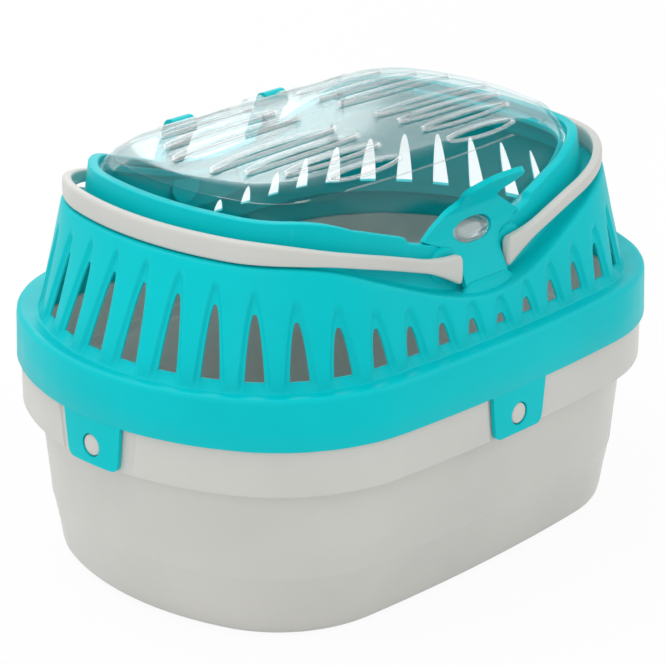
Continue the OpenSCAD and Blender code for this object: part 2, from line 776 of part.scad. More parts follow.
// Point on the handle's outer line at a distance from the middle of the side, with its outward angle
function handle_place(s) =
    s <= handle_side ?
        let (t = 90 - s / handle_arcs[3] * 180 / PI)
        [handle_arcs[3] * cos(t), handle_arcs[1] - handle_arcs[3] + handle_arcs[3] * sin(t), t] :
    s <= handle_side + handle_corner ?
        let (t = handle_arcs[6] - (s - handle_side) / handle_arcs[2] * 180 / PI)
        [handle_arcs[5][0] + handle_arcs[2] * cos(t), handle_arcs[5][1] + handle_arcs[2] * sin(t), t] :
        let (t = handle_arcs[7] - (s - handle_side - handle_corner) / handle_arcs[4] * 180 / PI)
        [handle_arcs[0] - handle_arcs[4] + handle_arcs[4] * cos(t), handle_arcs[4] * sin(t), t];

// Section of the bar at station i of a half: 8 points, the eye's end is rounded off
function bar_section(i) =
    let (s = handle_start + (handle_total - handle_start) * i / handle_stations)
    let (p = handle_place(s))
    let (round = i == 0 ? 0.62 : 1)
    let (h = bar_height(p[0]) / 2 * round)
    let (c = 1.3)
    let (z = bar_z(p[0]))
    [for (q = [[0, -h + c], [0, h - c], [-c, h], [-handle_wall + c, h],
        [-handle_wall, h - c], [-handle_wall, -h + c], [-handle_wall + c, -h], [-c, -h]])
        [p[0] + q[0] * cos(p[2]), p[1] + q[0] * sin(p[2]), z + q[1]]];

// A whole bail on the +X side: from its back pivot round the end to its front pivot
module bail() {
    half = [for (i = [0:handle_stations]) bar_section(i)];
    other = [for (i = [handle_stations - 1:-1:0]) [for (p = half[i]) [p[0], -p[1], p[2]]]];
    rings = concat(half, other);
    m = len(rings);
    sides = [for (i = [0:m - 2]) for (k = [0:7])
        let (a = i * 8 + k)
        let (b = i * 8 + (k + 1) % 8)
        each [[a, b + 8, b], [a, a + 8, b + 8]]];
    caps = [[for (k = [0:7]) k], [for (k = [7:-1:0]) (m - 1) * 8 + k]];
    polyhedron(points = [for (r = rings) each r], faces = concat(sides, caps), convexity = 6);
    for (n = [0, 1])
        mirror([0, n, 0])
            translate([pivot_x, -boss_face - handle_gap - handle_wall * 0.6, pivot_z])
                rotate([-90, 0, 0])
                    cylinder(h = pin_depth + handle_gap + handle_wall * 0.6, r = pin_diameter / 2, $fn = 48);
}

module handle_right() {
    color(light_grey) bail();
}

module handle_left() {
    color(light_grey) mirror([1, 0, 0]) bail();
}

// ---------- snap tabs ----------

module snap_tab(i) {
    color(turquoise)
        difference() {
            intersection() {
                band_slab(0.2, 0.2 + tab_wall, tub_lower_height - 1, skirt_bottom + 1);
                tab_block(i, 0);
            }
            at_tab(i)
                translate([0, -3, tab_hole_z])
                    rotate([-90, 0, 0]) cylinder(h = 10, r = tab_hole / 2, $fn = 48);
        }
}

module snap_tab_front() {
    snap_tab(0);
}

module snap_tab_right() {
    snap_tab(1);
}

module snap_tab_back() {
    snap_tab(2);
}

module snap_tab_left() {
    snap_tab(3);
}

tub();
top_shell();
lid();
latch_tongue();
handle_left();
handle_right();
snap_tab_front();
snap_tab_back();
snap_tab_left();
snap_tab_right();
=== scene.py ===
import math

import bmesh
import bpy
import numpy as np
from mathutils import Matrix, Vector


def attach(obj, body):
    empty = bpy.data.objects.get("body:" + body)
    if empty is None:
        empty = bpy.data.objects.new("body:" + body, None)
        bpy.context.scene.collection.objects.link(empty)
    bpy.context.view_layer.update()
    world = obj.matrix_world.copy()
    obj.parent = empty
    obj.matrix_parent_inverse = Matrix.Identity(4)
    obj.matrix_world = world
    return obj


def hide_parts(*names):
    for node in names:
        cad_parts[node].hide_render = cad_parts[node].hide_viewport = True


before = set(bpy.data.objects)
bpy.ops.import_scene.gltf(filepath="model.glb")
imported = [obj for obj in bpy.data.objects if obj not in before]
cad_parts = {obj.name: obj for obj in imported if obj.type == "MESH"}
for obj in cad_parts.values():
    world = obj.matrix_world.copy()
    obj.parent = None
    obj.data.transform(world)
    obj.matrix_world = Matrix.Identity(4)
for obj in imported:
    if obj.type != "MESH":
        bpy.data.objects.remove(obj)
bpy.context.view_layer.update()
print("frame loaded")

mm = 0.001
xAxis, yAxis, zAxis = np.eye(3)

# the plan outline that every moulding follows, in millimetres
plan = {
    "length": 300.0,
    "width": 217.6,
    "corner": 78.0,
    "sideBow": 2.9,
    "endBow": 3.6,
    "ledgeEnd": 16.0,
    "ledgeSide": 9.0,
}

levels = {
    "tubTop": 97.7,
    "skirtLow": 93.1,
    "skirtTop": 116.4,
    "wallFoot": 115.8,
    "shoulder": 133.7,
    "shoulderRise": 30.0,
    "shoulderReach": 112,    # how far along X the shoulder goes on rising
    "rim": 156.7,
    "rimRise": 22.5,
    "rimReach": 108,
    "crease": 182.4,
    "creaseRise": 1.8,
    "draft": 0.25,
}


def arcsOf(endIn, sideIn):
    # a side arc, a corner arc and an end arc, tangent where they meet; the corner's centre lies
    # side radius - r from the side's centre and end radius - r from the end's centre
    a = plan["length"] / 2 - endIn
    b = plan["width"] / 2 - sideIn
    r = plan["corner"] - (endIn + sideIn) / 2
    sideR = (a - r) ** 2 / (2 * plan["sideBow"])
    endR = (b - r) ** 2 / (2 * plan["endBow"])
    py = b - sideR
    qx = a - endR
    span = np.hypot(qx, py)
    along = ((sideR - r) ** 2 - (endR - r) ** 2 + span ** 2) / (2 * span)
    away = np.sqrt((sideR - r) ** 2 - along ** 2)
    ux, uy = qx / span, -py / span
    cx = along * ux + away * uy
    cy = py + along * uy - away * ux
    return {"r": r, "sideR": sideR, "endR": endR, "py": py, "qx": qx, "cx": cx, "cy": cy,
            "side": np.arctan2(cy - py, cx), "end": np.arctan2(cy, cx - qx)}


baseArcs = arcsOf(plan["ledgeEnd"], plan["ledgeSide"])
sideRun = float(baseArcs["sideR"] * (np.pi / 2 - baseArcs["side"]))
cornerRun = float(baseArcs["r"] * (baseArcs["side"] - baseArcs["end"]))
endRun = float(baseArcs["endR"] * baseArcs["end"])
quarter = sideRun + cornerRun + endRun


def onOutline(run, endIn, sideIn):
    # run is the distance along the wall's foot, from the middle of the front towards +X;
    # it picks the arc and the share of the arc, which are the same at every inset
    turn = np.floor(run / quarter).astype(int) % 4
    part = run - np.floor(run / quarter) * quarter
    s = np.where(turn % 2 == 0, part, quarter - part)
    g = arcsOf(endIn, sideIn)
    onSide = np.clip(s / sideRun, 0, 1)
    onCorner = np.clip((s - sideRun) / cornerRun, 0, 1)
    onEnd = np.clip((s - sideRun - cornerRun) / endRun, 0, 1)
    tSide = np.pi / 2 - (np.pi / 2 - g["side"]) * onSide
    tCorner = g["side"] + (g["end"] - g["side"]) * onCorner
    tEnd = g["end"] * (1 - onEnd)

    def pick(side, corner, end):
        return np.where(s <= sideRun, side, np.where(s <= sideRun + cornerRun, corner, end))

    angle = pick(tSide, tCorner, tEnd)
    radius = pick(g["sideR"], g["r"], g["endR"])
    x = pick(0, g["cx"], g["qx"]) + radius * np.cos(angle)
    y = pick(g["py"], g["cy"], 0) + radius * np.sin(angle)
    return np.where(turn < 2, x, -x), np.where((turn == 0) | (turn == 3), -y, y)


def footX(run):
    # how far along X the wall's foot lies from the middle
    return np.abs(onOutline(run, plan["ledgeEnd"], plan["ledgeSide"])[0])


def swell(x, reach):
    # cosine gain from 0 at the middle to 1 at the reach
    return (1 - np.cos(np.pi * np.minimum(np.abs(x), reach) / reach)) / 2


def smooth(t):
    # eased step from 0 to 1: three squares less two cubes
    t = np.clip(t, 0, 1)
    return t * t * (3 - 2 * t)


def edgeZ(edge, x):
    # the level of the shoulder or the rim, and its rise times the swell
    return levels[edge] + levels[edge + "Rise"] * swell(x, levels[edge + "Reach"])


def shoulderZ(run):
    # the shoulder's height where the wall's foot has this run
    return edgeZ("shoulder", footX(run))


def rimZ(run):
    # the rim's height where the wall's foot has this run
    return edgeZ("rim", footX(run))


def columns(*parts):
    # values side by side on a new last axis, each stretched to the shape of them all
    return np.stack(np.broadcast_arrays(*parts), -1)


def around(count):
    # evenly spaced angles of a full turn, which doesn't repeat its first
    return np.linspace(0, 2 * np.pi, count, endpoint=False)


def powered(a, power):
    # cosine and sine of an angle, each raised to a power with its sign kept
    return [np.sign(v) * np.abs(v) ** power for v in (np.cos(a), np.sin(a))]


# mesh helpers

def newObject(name, points, faces, material, smoothAngle=40):
    # points in millimetres; faces of three, four or more corners
    mesh = bpy.data.meshes.new(name)
    mesh.from_pydata((np.asarray(points, float).reshape(-1, 3) * mm).tolist(), [], faces)
    mesh.validate()
    obj = bpy.data.objects.new(name, mesh)
    bpy.context.scene.collection.objects.link(obj)
    mesh.materials.append(material)
    mesh.polygons.foreach_set("use_smooth", np.ones(len(mesh.polygons), bool))
    mesh.set_sharp_from_angle(angle=math.radians(smoothAngle))
    mesh.update()
    return obj


def capFaces(rows, cols):
    # one face over the first row of a tube's grid and one over the last
    return [list(range(cols)), list(range((rows - 1) * cols, rows * cols))]


def tube(pts):
    # a grid of points [rows, columns, 3] joined around its columns, with a face over each end
    rows, cols = pts.shape[:2]
    return pts.reshape(-1, 3), gridFaces(rows, cols, False, True).tolist() + capFaces(rows, cols)


def joinParts(parts):
    # several (points, faces) pairs as one: each pair's indices move up by the points before it
    points, faces, start = [], [], 0
    for p, f in parts:
        p = np.asarray(p, float).reshape(-1, 3)
        points.append(p)
        faces += [[i + start for i in face] for face in f]
        start += len(p)
    return np.concatenate(points), faces


def gridFaces(rows, cols, aroundRows, aroundCols):
    # quads of a grid whose row and column ends may be joined
    i = np.arange(rows if aroundRows else rows - 1)[:, None]
    j = np.arange(cols if aroundCols else cols - 1)[None, :]
    a = i * cols + j
    b = i * cols + (j + 1) % cols
    c = ((i + 1) % rows) * cols + (j + 1) % cols
    d = ((i + 1) % rows) * cols + j
    return columns(a, b, c, d).reshape(-1, 4)


def addBevel(obj, width, segments=2, angle=35):
    # rounds each edge that turns by more than the angle, over the width
    mod = obj.modifiers.new("edges", "BEVEL")
    mod.width = width * mm
    mod.segments = segments
    mod.limit_method = "ANGLE"
    mod.angle_limit = math.radians(angle)
    mod.harden_normals = True


def addWall(obj, thickness):
    # gives a surface its thickness, all of it on the inner side
    mod = obj.modifiers.new("wall", "SOLIDIFY")
    mod.thickness = thickness * mm
    mod.offset = -1
    mod.use_even_offset = True


def roundedRows(keys, steps=4):
    # a row is [columns, 4] of end inset, side inset, height and run; a (row, radius) pair becomes
    # a quadratic curve between points that distance to each side of the row
    keys = [key if isinstance(key, tuple) else (key, 0) for key in keys]
    rows = []
    for i, (row, radius) in enumerate(keys):
        if radius <= 0 or i in (0, len(keys) - 1):
            rows.append(row)
            continue
        ends = []
        for other in (keys[i - 1][0], keys[i + 1][0]):
            step = other - row
            size = np.hypot((step[:, 0] + step[:, 1]) / 2, step[:, 2])[:, None]
            ends.append(row + step * np.minimum(radius / np.maximum(size, 1e-6), 0.48))
        for t in np.linspace(0, 1, steps + 1):
            rows.append((1 - t) ** 2 * ends[0] + 2 * t * (1 - t) * row + t * t * ends[1])
    return rows


def placeRows(rows):
    # rows as points: insets and run give x and y on the outline, the height is z
    r = np.stack(rows)
    x, y = onOutline(r[..., 3], r[..., 0], r[..., 1])
    return columns(x, y, r[..., 2])


def rowBetween(low, high, share, inward, up):
    # a straight share of the way from one row to another, moved in and up
    row = low + share * (high - low)
    row[:, :2] += np.reshape(inward, (-1, 1))
    row[:, 2] += up
    return row


def flatRow(run, inset, z, sideInset=None):
    # a level row, with one inset all round unless the sides have their own
    return columns(inset, inset if sideInset is None else sideInset, z, run)


def dropUnused(points, faces):
    # drops the points that no face uses and numbers the rest anew
    used = np.unique(np.concatenate([np.asarray(f) for f in faces]))
    place = np.full(len(points), -1)
    place[used] = np.arange(len(used))
    return points[used], [[int(place[i]) for i in f] for f in faces]


def outward(obj):
    # turns every face of a closed shell outwards
    bm = bmesh.new()
    bm.from_mesh(obj.data)
    bmesh.ops.recalc_face_normals(bm, faces=bm.faces)
    bm.to_mesh(obj.data)
    bm.free()
    obj.data.polygons.foreach_set("use_smooth", np.ones(len(obj.data.polygons), bool))
    obj.data.update()
    return obj


def lathe(profile, count, centre, turn):
    # a profile of (radius, reach) pairs turned about an axis and closed at both ends;
    # reach runs along the axis, turn is the 3 by 3 frame (two cross directions, then the axis)
    prof = np.asarray(profile, float)
    t = around(count)
    ring = np.cos(t)[:, None] * turn[0] + np.sin(t)[:, None] * turn[1]
    return tube(centre + prof[:, None, 0, None] * ring[None] + prof[:, None, 1, None] * turn[2])


def sidePlate(outlinePts, low, high):
    # an outline of (y, z) pairs carried along X from low to high
    n = len(outlinePts)
    base = outlinePts[:, :1] * yAxis + outlinePts[:, 1:2] * zAxis
    pts = np.concatenate([base + low * xAxis, base + high * xAxis])
    faces = [[i, (i + 1) % n, n + (i + 1) % n, n + i] for i in range(n)]
    faces += [list(range(n - 1, -1, -1)), list(range(n, 2 * n))]
    return pts, faces


# the slotted top shell

shell = {
    "slots": 42,
    "slotWidth": 8.5,
    "slotLow": 4.3,
    "slotHigh": 31.5,
    "slotFull": 20.0,        # height at which a slot has its full width
    "slotLeast": 0.62,       # share of the width that a slot without height would have
    "slotCurve": 0.45,       # how much the slots' height lags behind near the latch
    "pitchGain": 0.07,       # how much wider the slots' pitch grows towards the ends
    "endBulge": 6.5,         # how far the wall's foot bulges at the middle of each end
    "endDrop": 1.8,          # how far the wall's foot sinks towards the ends
    "sill": 119.8,
    "wall": 2.6,
    "pocketMargin": 3.1,     # recessed border on each side of a slot
    "pocketAbove": 8.0,      # how far the recess runs on above a slot
    "pocketDepth": 1.5,
}

collar = {
    "footEnd": 31.875,       # insets of the foot and the rim at the middle of the front
    "footSide": 24.275,
    "footSlope": 0.22,       # inset gained for each millimetre that the edge rises
    "rimEnd": 36.975,
    "rimSide": 27.975,
    "rimSlope": 0.2,
    "rimWidth": 4.6,
    "seatDepth": 4.2,
    "seatWidth": 3.8,
    "backSeat": 0.4,         # the seat is nearly gone behind, at the hinge
    "notchHalf": 40.0,       # lowered stretch of the rim at the latch
    "notchDepth": 2.4,
    "socketHigh": [150.65, 152.05, 159.7],     # heights and half widths of the tongue's socket
    "socketHalf": [13.95, 15.95, 31.35],
    "socketReach": 46.0,     # columns up to here are pushed aside by the socket
}

acrossSlot = np.array([0, 0.1, 0.36, 0.56, 0.78, 0.96, 1.1, 1.5, 2.0])
upSlot = np.array([0, 0.12, 0.27, 0.42, 0.56, 0.69, 0.79, 0.87, 0.93, 0.965, 0.988, 1.0])

slotStep = 4 * quarter / shell["slots"]
slotIndex = np.arange(1, shell["slots"] // 4 + 1)
slotRun = slotIndex * slotStep * (1 - shell["pitchGain"] * (1 - slotIndex * 4 / shell["slots"]))
slotCentre = np.concatenate([[0], slotRun, 2 * quarter - slotRun[::-1], [2 * quarter],
                             2 * quarter + slotRun, 4 * quarter - slotRun[::-1]])
slotCount = len(slotCentre)
slotReach = np.minimum(1, footX(slotCentre) / (plan["length"] / 2 - plan["ledgeEnd"]))
slotLift = slotReach * (1 - shell["slotCurve"] * (1 - slotReach))
slotTall = shell["slotLow"] + (shell["slotHigh"] - shell["slotLow"]) * slotLift
slotHalf = shell["slotWidth"] / 2 * np.minimum(
    1, shell["slotLeast"] + (1 - shell["slotLeast"]) * slotTall / shell["slotFull"])
gapRight = np.diff(np.append(slotCentre, 4 * quarter)) / 2
gapLeft = np.roll(gapRight, 1)

# one column list for the whole ring: per slot the left half from border to edge, then the right
halfCols = len(acrossSlot)
cellCols = 2 * halfCols - 1
colParam = np.concatenate([acrossSlot[::-1], acrossSlot[:-1]])
colSide = np.concatenate([-np.ones(halfCols), np.ones(halfCols - 1)])
shellCols = cellCols * slotCount


def archHalf(t):
    # share of the half width of a slender arch at a share t of its height: 1 - t^1.2, to the 0.46
    return (1 - np.clip(t, 0, 1) ** 1.2) ** 0.46


def dishHalf(t):
    # the recess around a slot has a blunter arch: 1 - t^0.95, to the 0.4
    return (1 - np.clip(t, 0, 1) ** 0.95) ** 0.4


def endBulge(run):
    # an eased fall from the middle of each end to none 90 mm away from it
    away = np.abs(np.mod(run, 2 * quarter) - quarter)
    return shell["endBulge"] * (1 - smooth((away - 10) / 80))


def endDrop(run):
    # an eased step along X: none over the middle of the sides, full at the ends
    return shell["endDrop"] * smooth((footX(run) - 62) / 72)


def shellColumns(share, socket=0.0):
    # runs of all columns at a share of the slot's height, below 0 under the sill and above 1 over
    # the tip; near the latch the columns are pushed out to the socket's half width
    t = np.clip(share, 0, None)
    half = slotHalf * np.where(t < 1, archHalf(t), 0)
    dishTop = (slotTall + shell["pocketAbove"]) / slotTall
    dish = (slotHalf + shell["pocketMargin"]) * dishHalf(t / dishTop)
    dish = np.maximum(dish, half + np.where(t < 1, 1.0, 3.0))
    border = np.where(colSide[None] < 0, gapLeft[:, None], gapRight[:, None])
    p = colParam[None]
    off = np.where(p <= 1, half[:, None] + (dish - half)[:, None] * p,
                   dish[:, None] + (border - dish[:, None]) * (p - 1))
    run = (slotCentre[:, None] + colSide[None] * off).ravel()
    if socket > 0:
        late = np.arange(shellCols) > shellCols / 2
        side = np.where(late | (np.arange(shellCols) < halfCols), -1, 1)
        lap = np.where(late, 4 * quarter, 0.0)
        reach = collar["socketReach"]
        size = np.abs(run - lap)
        pushed = lap + side * (socket + size * (reach - socket) / reach)
        run = np.where(size < reach, pushed, run)
    return run


def shellWallRow(share, inner=0.0):
    # a row on the slotted wall: up to 1 it follows the slots, from 1 to 2 it rises to the edge of
    # the shoulder; the height sets the inset by the draft, and a recess round each slot adds to it
    foot, sill = levels["wallFoot"], shell["sill"]
    above = (shoulderZ(slotCentre) - sill - slotTall) / slotTall
    run = shellColumns(share * np.ones(slotCount) if share <= 1 else 1 + (share - 1) * above)
    p = np.clip(colParam[None] / 2, 0, 1)
    other = np.where(colSide[None] < 0, np.roll(slotTall, 1)[:, None],
                     np.roll(slotTall, -1)[:, None])
    tall = (slotTall[:, None] + p * (other - slotTall[:, None]) / 2).ravel()
    top = shoulderZ(run)
    if share <= 0:
        z = foot + (1 + share) * (sill - foot)
    elif share <= 1:
        z = sill + share * tall
    else:
        z = sill + tall + (share - 1) * (top - sill - tall)
    fall = np.clip((top - z) / (top - foot), 0, 1)
    inset = (z - foot) * levels["draft"] + inner - endBulge(run) * fall
    sink = endDrop(run) * np.clip(2 - share, 0, 1)
    if inner == 0:
        centre, tall, half = (np.repeat(v, cellCols) for v in (slotCentre, slotTall, slotHalf))
        dishTall = tall + shell["pocketAbove"]
        dish = (half + shell["pocketMargin"]) * dishHalf((z - sill) / dishTall)
        fade = smooth((dishTall - (z - sill)) / 2.0) * smooth((z - foot - 0.8) / 2.4)
        depth = smooth((dish - np.abs(run - centre)) / 1.7) * fade
        up = (z - sill) / tall
        isOpen = half * np.where(up < 1, archHalf(up), 0) > 0.05
        edge = np.tile(np.where(colParam == 0, 0.35, 0.0), slotCount)
        inset = inset + shell["pocketDepth"] * depth + edge * isOpen
    return columns(plan["ledgeEnd"] + inset, plan["ledgeSide"] + inset, z - sink, run)


def rimEdge(run):
    # end inset, side inset and height of the collar's rim: the insets grow with its rise
    rim = rimZ(run)
    grow = (rim - levels["rim"]) * collar["rimSlope"]
    return collar["rimEnd"] + grow, collar["rimSide"] + grow, rim


def collarRow(share, inward, up, socket, seat=False):
    # between the collar's foot and its rim, which is notched in front
    run = shellColumns(3.0 * np.ones(slotCount), socket)
    x, y = onOutline(run, plan["ledgeEnd"], plan["ledgeSide"])
    if seat:
        inward = inward + np.where(y > plan["width"] / 4, collar["backSeat"], collar["seatWidth"])
        notch = 0
    else:
        beside = smooth((np.abs(x) - collar["notchHalf"]) / 2.6)
        notch = collar["notchDepth"] * (y < 0) * (1 - beside)
    foot = shoulderZ(run)
    grow = (foot - levels["shoulder"]) * collar["footSlope"]
    low = columns(collar["footEnd"] + grow, collar["footSide"] + grow, foot, run)
    endIn, sideIn, rim = rimEdge(run)
    high = columns(endIn, sideIn, rim - notch, run)
    return rowBetween(low, high, share, inward, up)


def socketHalf(share):
    # half width of the tongue's socket where a collar row meets it, found by going from width to
    # height and back until they agree
    half = collar["socketHalf"][0]
    for i in range(12):
        foot, rim = edgeZ("shoulder", half), edgeZ("rim", half)
        z = foot + share * (rim - collar["notchDepth"] - foot)
        half = float(np.interp(z, collar["socketHigh"], collar["socketHalf"]))
    return half


def buildShell():
    # rows from the skirt's foot over the wall, the shoulder and the collar, and back down inside
    flat = shellColumns(-1.0 * np.ones(slotCount))
    wall = shell["wall"]
    skirtLow, skirtTop, wallFoot = levels["skirtLow"], levels["skirtTop"], levels["wallFoot"]
    width, depth = collar["rimWidth"], collar["seatDepth"]

    def band(inset, z):
        # a level row on the skirt
        return flatRow(flat, inset, z)

    def ledgeBand(inward, z):
        # a level row beside the wall's foot, which bulges and sinks with it
        row = flatRow(flat, plan["ledgeEnd"] + inward, z, plan["ledgeSide"] + inward)
        row[:, :2] -= endBulge(flat)[:, None]
        row[:, 2] -= endDrop(flat)
        return row

    lower = roundedRows([
        band(1.7, skirtLow), band(0.25, skirtLow), band(0.0, skirtLow + 0.35),
        band(0.5, skirtLow + 12), (band(0.9, skirtTop), 3.4),
        (ledgeBand(-0.2, wallFoot - 0.15), 0.9),
        shellWallRow(-0.72), shellWallRow(-0.3), shellWallRow(0.0)])
    slotRows = [shellWallRow(t) for t in upSlot[1:]]
    sockets = {s: socketHalf(s) for s in (0.15, 0.4, 0.62, 0.75, 0.86, 0.95, 1)}
    topHalf = sockets[1]
    above = [shellWallRow(s) for s in (1.08, 1.18, 1.28, 1.4, 1.52, 1.64, 1.78)]
    upper = roundedRows([
        slotRows[-1], *above, (shellWallRow(2.0), 2.0), collarRow(0, -5, 0.2, 4.0),
        (collarRow(0, 0, 0.5, 8.0), 1.6), collarRow(0.15, 0, 0, sockets[0.15])])[1:]
    rim = [collarRow(s, 0, 0, sockets[s]) for s in (0.4, 0.62, 0.75, 0.86)]
    rim += roundedRows([(collarRow(*key), radius) for key, radius in (
        ((0.95, 0, 0, sockets[0.95]), 0), ((1, 0, 0, topHalf), 1.5),
        ((1, width, -0.2, topHalf), 0.8), ((1, width, -depth, topHalf), 0.5),
        ((1, width + 0.2, -depth - 0.2, topHalf, True), 0.5),
        ((1, width + 0.2, -depth - 3, topHalf, True), 0.6),
        ((1, 3.2, -depth - 5, sockets[0.75]), 2.0), ((0.15, wall, -0.5, sockets[0.15]), 0))], 3)
    inner = roundedRows([
        rim[-1], (collarRow(0, wall, -wall, 8.0), 2.0), collarRow(0, -5, -wall - 0.2, 4.0),
        (shellWallRow(1.6, wall), 2.0), shellWallRow(1.25, wall), shellWallRow(1.0, wall)])[1:]
    innerSlots = [shellWallRow(t, wall) for t in upSlot[:-1][::-1]]
    innerLow = roundedRows([
        innerSlots[-1], shellWallRow(-0.6, wall), (ledgeBand(2.6, wallFoot - 2.2), 1.0),
        (band(3.1, skirtTop - 2.4), 1.5), band(1.7, skirtTop - 8),
        band(1.75, skirtLow + 0.3)])[1:]

    rows = lower + slotRows + upper + rim + inner + innerSlots + innerLow
    nRows = len(rows)
    sill = len(lower) - 1
    tip = sill + len(slotRows)
    socketLow = tip + len(upper)
    socketEnd = socketLow + len(rim)
    innerTip = socketEnd + len(inner)
    innerSill = innerTip + len(innerSlots)

    # the two edge columns are one column where the slot is closed
    left = np.arange(slotCount) * cellCols + halfCols - 1
    runs = np.stack(rows)[..., 3]
    apart = runs[:, left + 1] - runs[:, left] > 1e-4
    index = np.arange(nRows * shellCols).reshape(nRows, shellCols)
    index[:, left + 1] = np.where(apart, index[:, left + 1], index[:, left])
    points = placeRows(rows).reshape(-1, 3)
    quads = index.ravel()[gridFaces(nRows, shellCols, True, True)].reshape(nRows, shellCols, 4)
    keep = np.ones((nRows, shellCols), bool)
    # no face across an open slot, outside or inside, nor across the socket
    keep[sill:tip, left] = False
    keep[innerTip:innerSill, left] = False
    keep[socketLow:socketEnd, left[0]] = False
    quads = quads[keep].tolist()
    # side walls and sills of the slots, between the outer and the inner edge
    outerRows = np.arange(sill, tip + 1)
    innerRows = innerSill - np.arange(0, tip - sill + 1)
    for o, p, u, v in zip(outerRows, outerRows[1:], innerRows, innerRows[1:]):
        for c in (left, left + 1):
            quads += columns(index[o, c], index[p, c], index[v, c], index[u, c]).tolist()
    # a face with a merged column is a triangle, or nothing
    faces = [f for f in (list(dict.fromkeys(q)) for q in quads) if len(f) > 2]
    faces += columns(index[sill, left], index[sill, left + 1],
                     index[innerSill, left + 1], index[innerSill, left]).tolist()
    # ends and floor of the socket
    for c in (left[0], left[0] + 1):
        faces.append(index[socketLow:socketEnd + 1, c].tolist())
    faces.append([int(index[r, left[0] + c]) for r, c in (
        (socketLow, 0), (socketLow, 1), (socketEnd, 1), (socketEnd, 0))])
    return dropUnused(points, faces)


def smoothPath(keys, count):
    # a curve through the keys, evenly spaced: each stretch is a Catmull-Rom cubic of four keys
    k = np.asarray(keys, float)
    k = np.concatenate([[2 * k[0] - k[1]], k, [2 * k[-1] - k[-2]]])
    t = np.linspace(0, len(k) - 3, count * 4)
    i = np.minimum(t.astype(int), len(k) - 4)
    u = (t - i)[:, None]
    p0, p1, p2, p3 = k[i], k[i + 1], k[i + 2], k[i + 3]
    c = 0.5 * (2 * p1 + (p2 - p0) * u + (2 * p0 - 5 * p1 + 4 * p2 - p3) * u ** 2
               + (3 * p1 - p0 - 3 * p2 + p3) * u ** 3)
    run = np.concatenate([[0], np.cumsum(np.linalg.norm(np.diff(c, axis=0), axis=1))])
    even = np.linspace(0, run[-1], count)
    return columns(*(np.interp(even, run, values) for values in c.T))


# latch tongue

tongue = {
    "foot": (-88.872, 137.6),
    "lean": 24.2,
    "windowLift": 22.8,
    "windowWidth": 24.4,
    "windowHeight": 11.8,
    "stemHalf": 13.6,
    "half": 31.0,
    "lipHalf": 16.2,
    "lipReach": 19.5,
    "flareTop": 1.3,         # height above the window's middle where the shoulder is widest
    "lipLow": 22.0,          # and where the lip's round end starts
    "lipRound": 6.7,
    "wall": 2.5,
}
lean = math.radians(tongue["lean"])
leanSin, leanCos = math.sin(lean), math.cos(lean)
windowY = tongue["foot"][0] + tongue["windowLift"] * leanSin
windowZ = tongue["foot"][1] + tongue["windowLift"] * leanCos

# half widths and heights above the window's middle: flared shoulder, neck, thumb lip
tongueEdge = smoothPath([
    (tongue["half"], tongue["flareTop"]), (27.5, 3.6), (23.5, 6.2), (19.5, 8.8), (15.9, 11.0),
    (13.4, 12.8), (12.8, 14.4), (13.7, 16.6), (15.4, 18.8), (tongue["lipHalf"], 21.0),
    (tongue["lipHalf"], tongue["lipLow"])], 90)


def tongueHalf(z):
    # half width at a height: stem, flared shoulder, neck, then the lip's elliptical end
    d = z - windowZ
    low = np.interp(d, [-30, -8.6, -7.2, -5.4, tongue["flareTop"]],
                    [tongue["stemHalf"], tongue["stemHalf"], 14.0, 16.0, tongue["half"]])
    high = np.interp(d, tongueEdge[:, 1], tongueEdge[:, 0])
    tip = (d - tongue["lipLow"]) / tongue["lipRound"]
    tip = tongue["lipHalf"] * np.sqrt(np.clip(1 - tip ** 2, 0.0004, 1))
    return np.where(d < tongue["flareTop"], low, np.where(d < tongue["lipLow"], high, tip))


def buildTongue():
    # a curve seen from the side, as wide at each height as tongueHalf says, round an oval window
    reach = tongue["lipReach"]
    side = smoothPath([tongue["foot"]] + [(windowY + y, windowZ + z) for y, z in (
        (-5.0, -11.2), (-0.8, -1.8), (0.3, 2.2), (0.2, 6.6), (-0.8, 10.6), (-0.24 * reach, 15),
        (-0.56 * reach, 20.6), (-0.92 * reach, 26.3), (-reach, 27.6))], 110)
    z = side[:, 1]
    half = tongueHalf(z)
    lift = (z - tongue["foot"][1]) / leanCos - tongue["windowLift"]
    r = tongue["windowHeight"] / 2
    inside = np.abs(lift) < r - 0.05
    gap = tongue["windowWidth"] / 2 * np.sqrt(np.clip(1 - (lift / r) ** 2, 0.02, None))
    gap = np.where(inside, gap, np.minimum(1.8, half * 0.6))
    c = np.array([0, 0.12, 0.3, 0.5, 0.7, 0.86, 0.95, 1.0])
    right = gap[:, None] + (half - gap)[:, None] * c
    x = np.concatenate([-right[:, ::-1], right], 1)
    dish = 0.6 * smooth((z[:, None] - windowZ - 12) / 10) * (1 - (x / half[:, None]) ** 2)
    pts = columns(x, side[:, :1] + dish, z[:, None])
    rows, cols = x.shape
    grid = gridFaces(rows, cols, False, False).reshape(rows - 1, cols - 1, 4)
    keep = np.ones((rows - 1, cols - 1), bool)
    keep[inside[:-1] & inside[1:], cols // 2 - 1] = False
    return dropUnused(pts.reshape(-1, 3), grid[keep].tolist())


# clear lid

lid = {
    "edge": 5.2,
    "flange": 3.2,
    "creaseEnd": 47.2,
    "creaseSide": 49.0,
    "domeHeight": 9.4,
    "wall": 1.8,
    "ventWidth": 5.4,
    "ventTaper": 0.72,
    "ventPitch": 13.4,
    "ventLength": 77.0,
    "ventFirst": 0.86,       # pitches from the middle line to the first vent
    "ventStart": 15.0,       # how far along X the first vent starts
    "bead": 1.15,
    "beadSides": 10,
    "columns": 384,
}


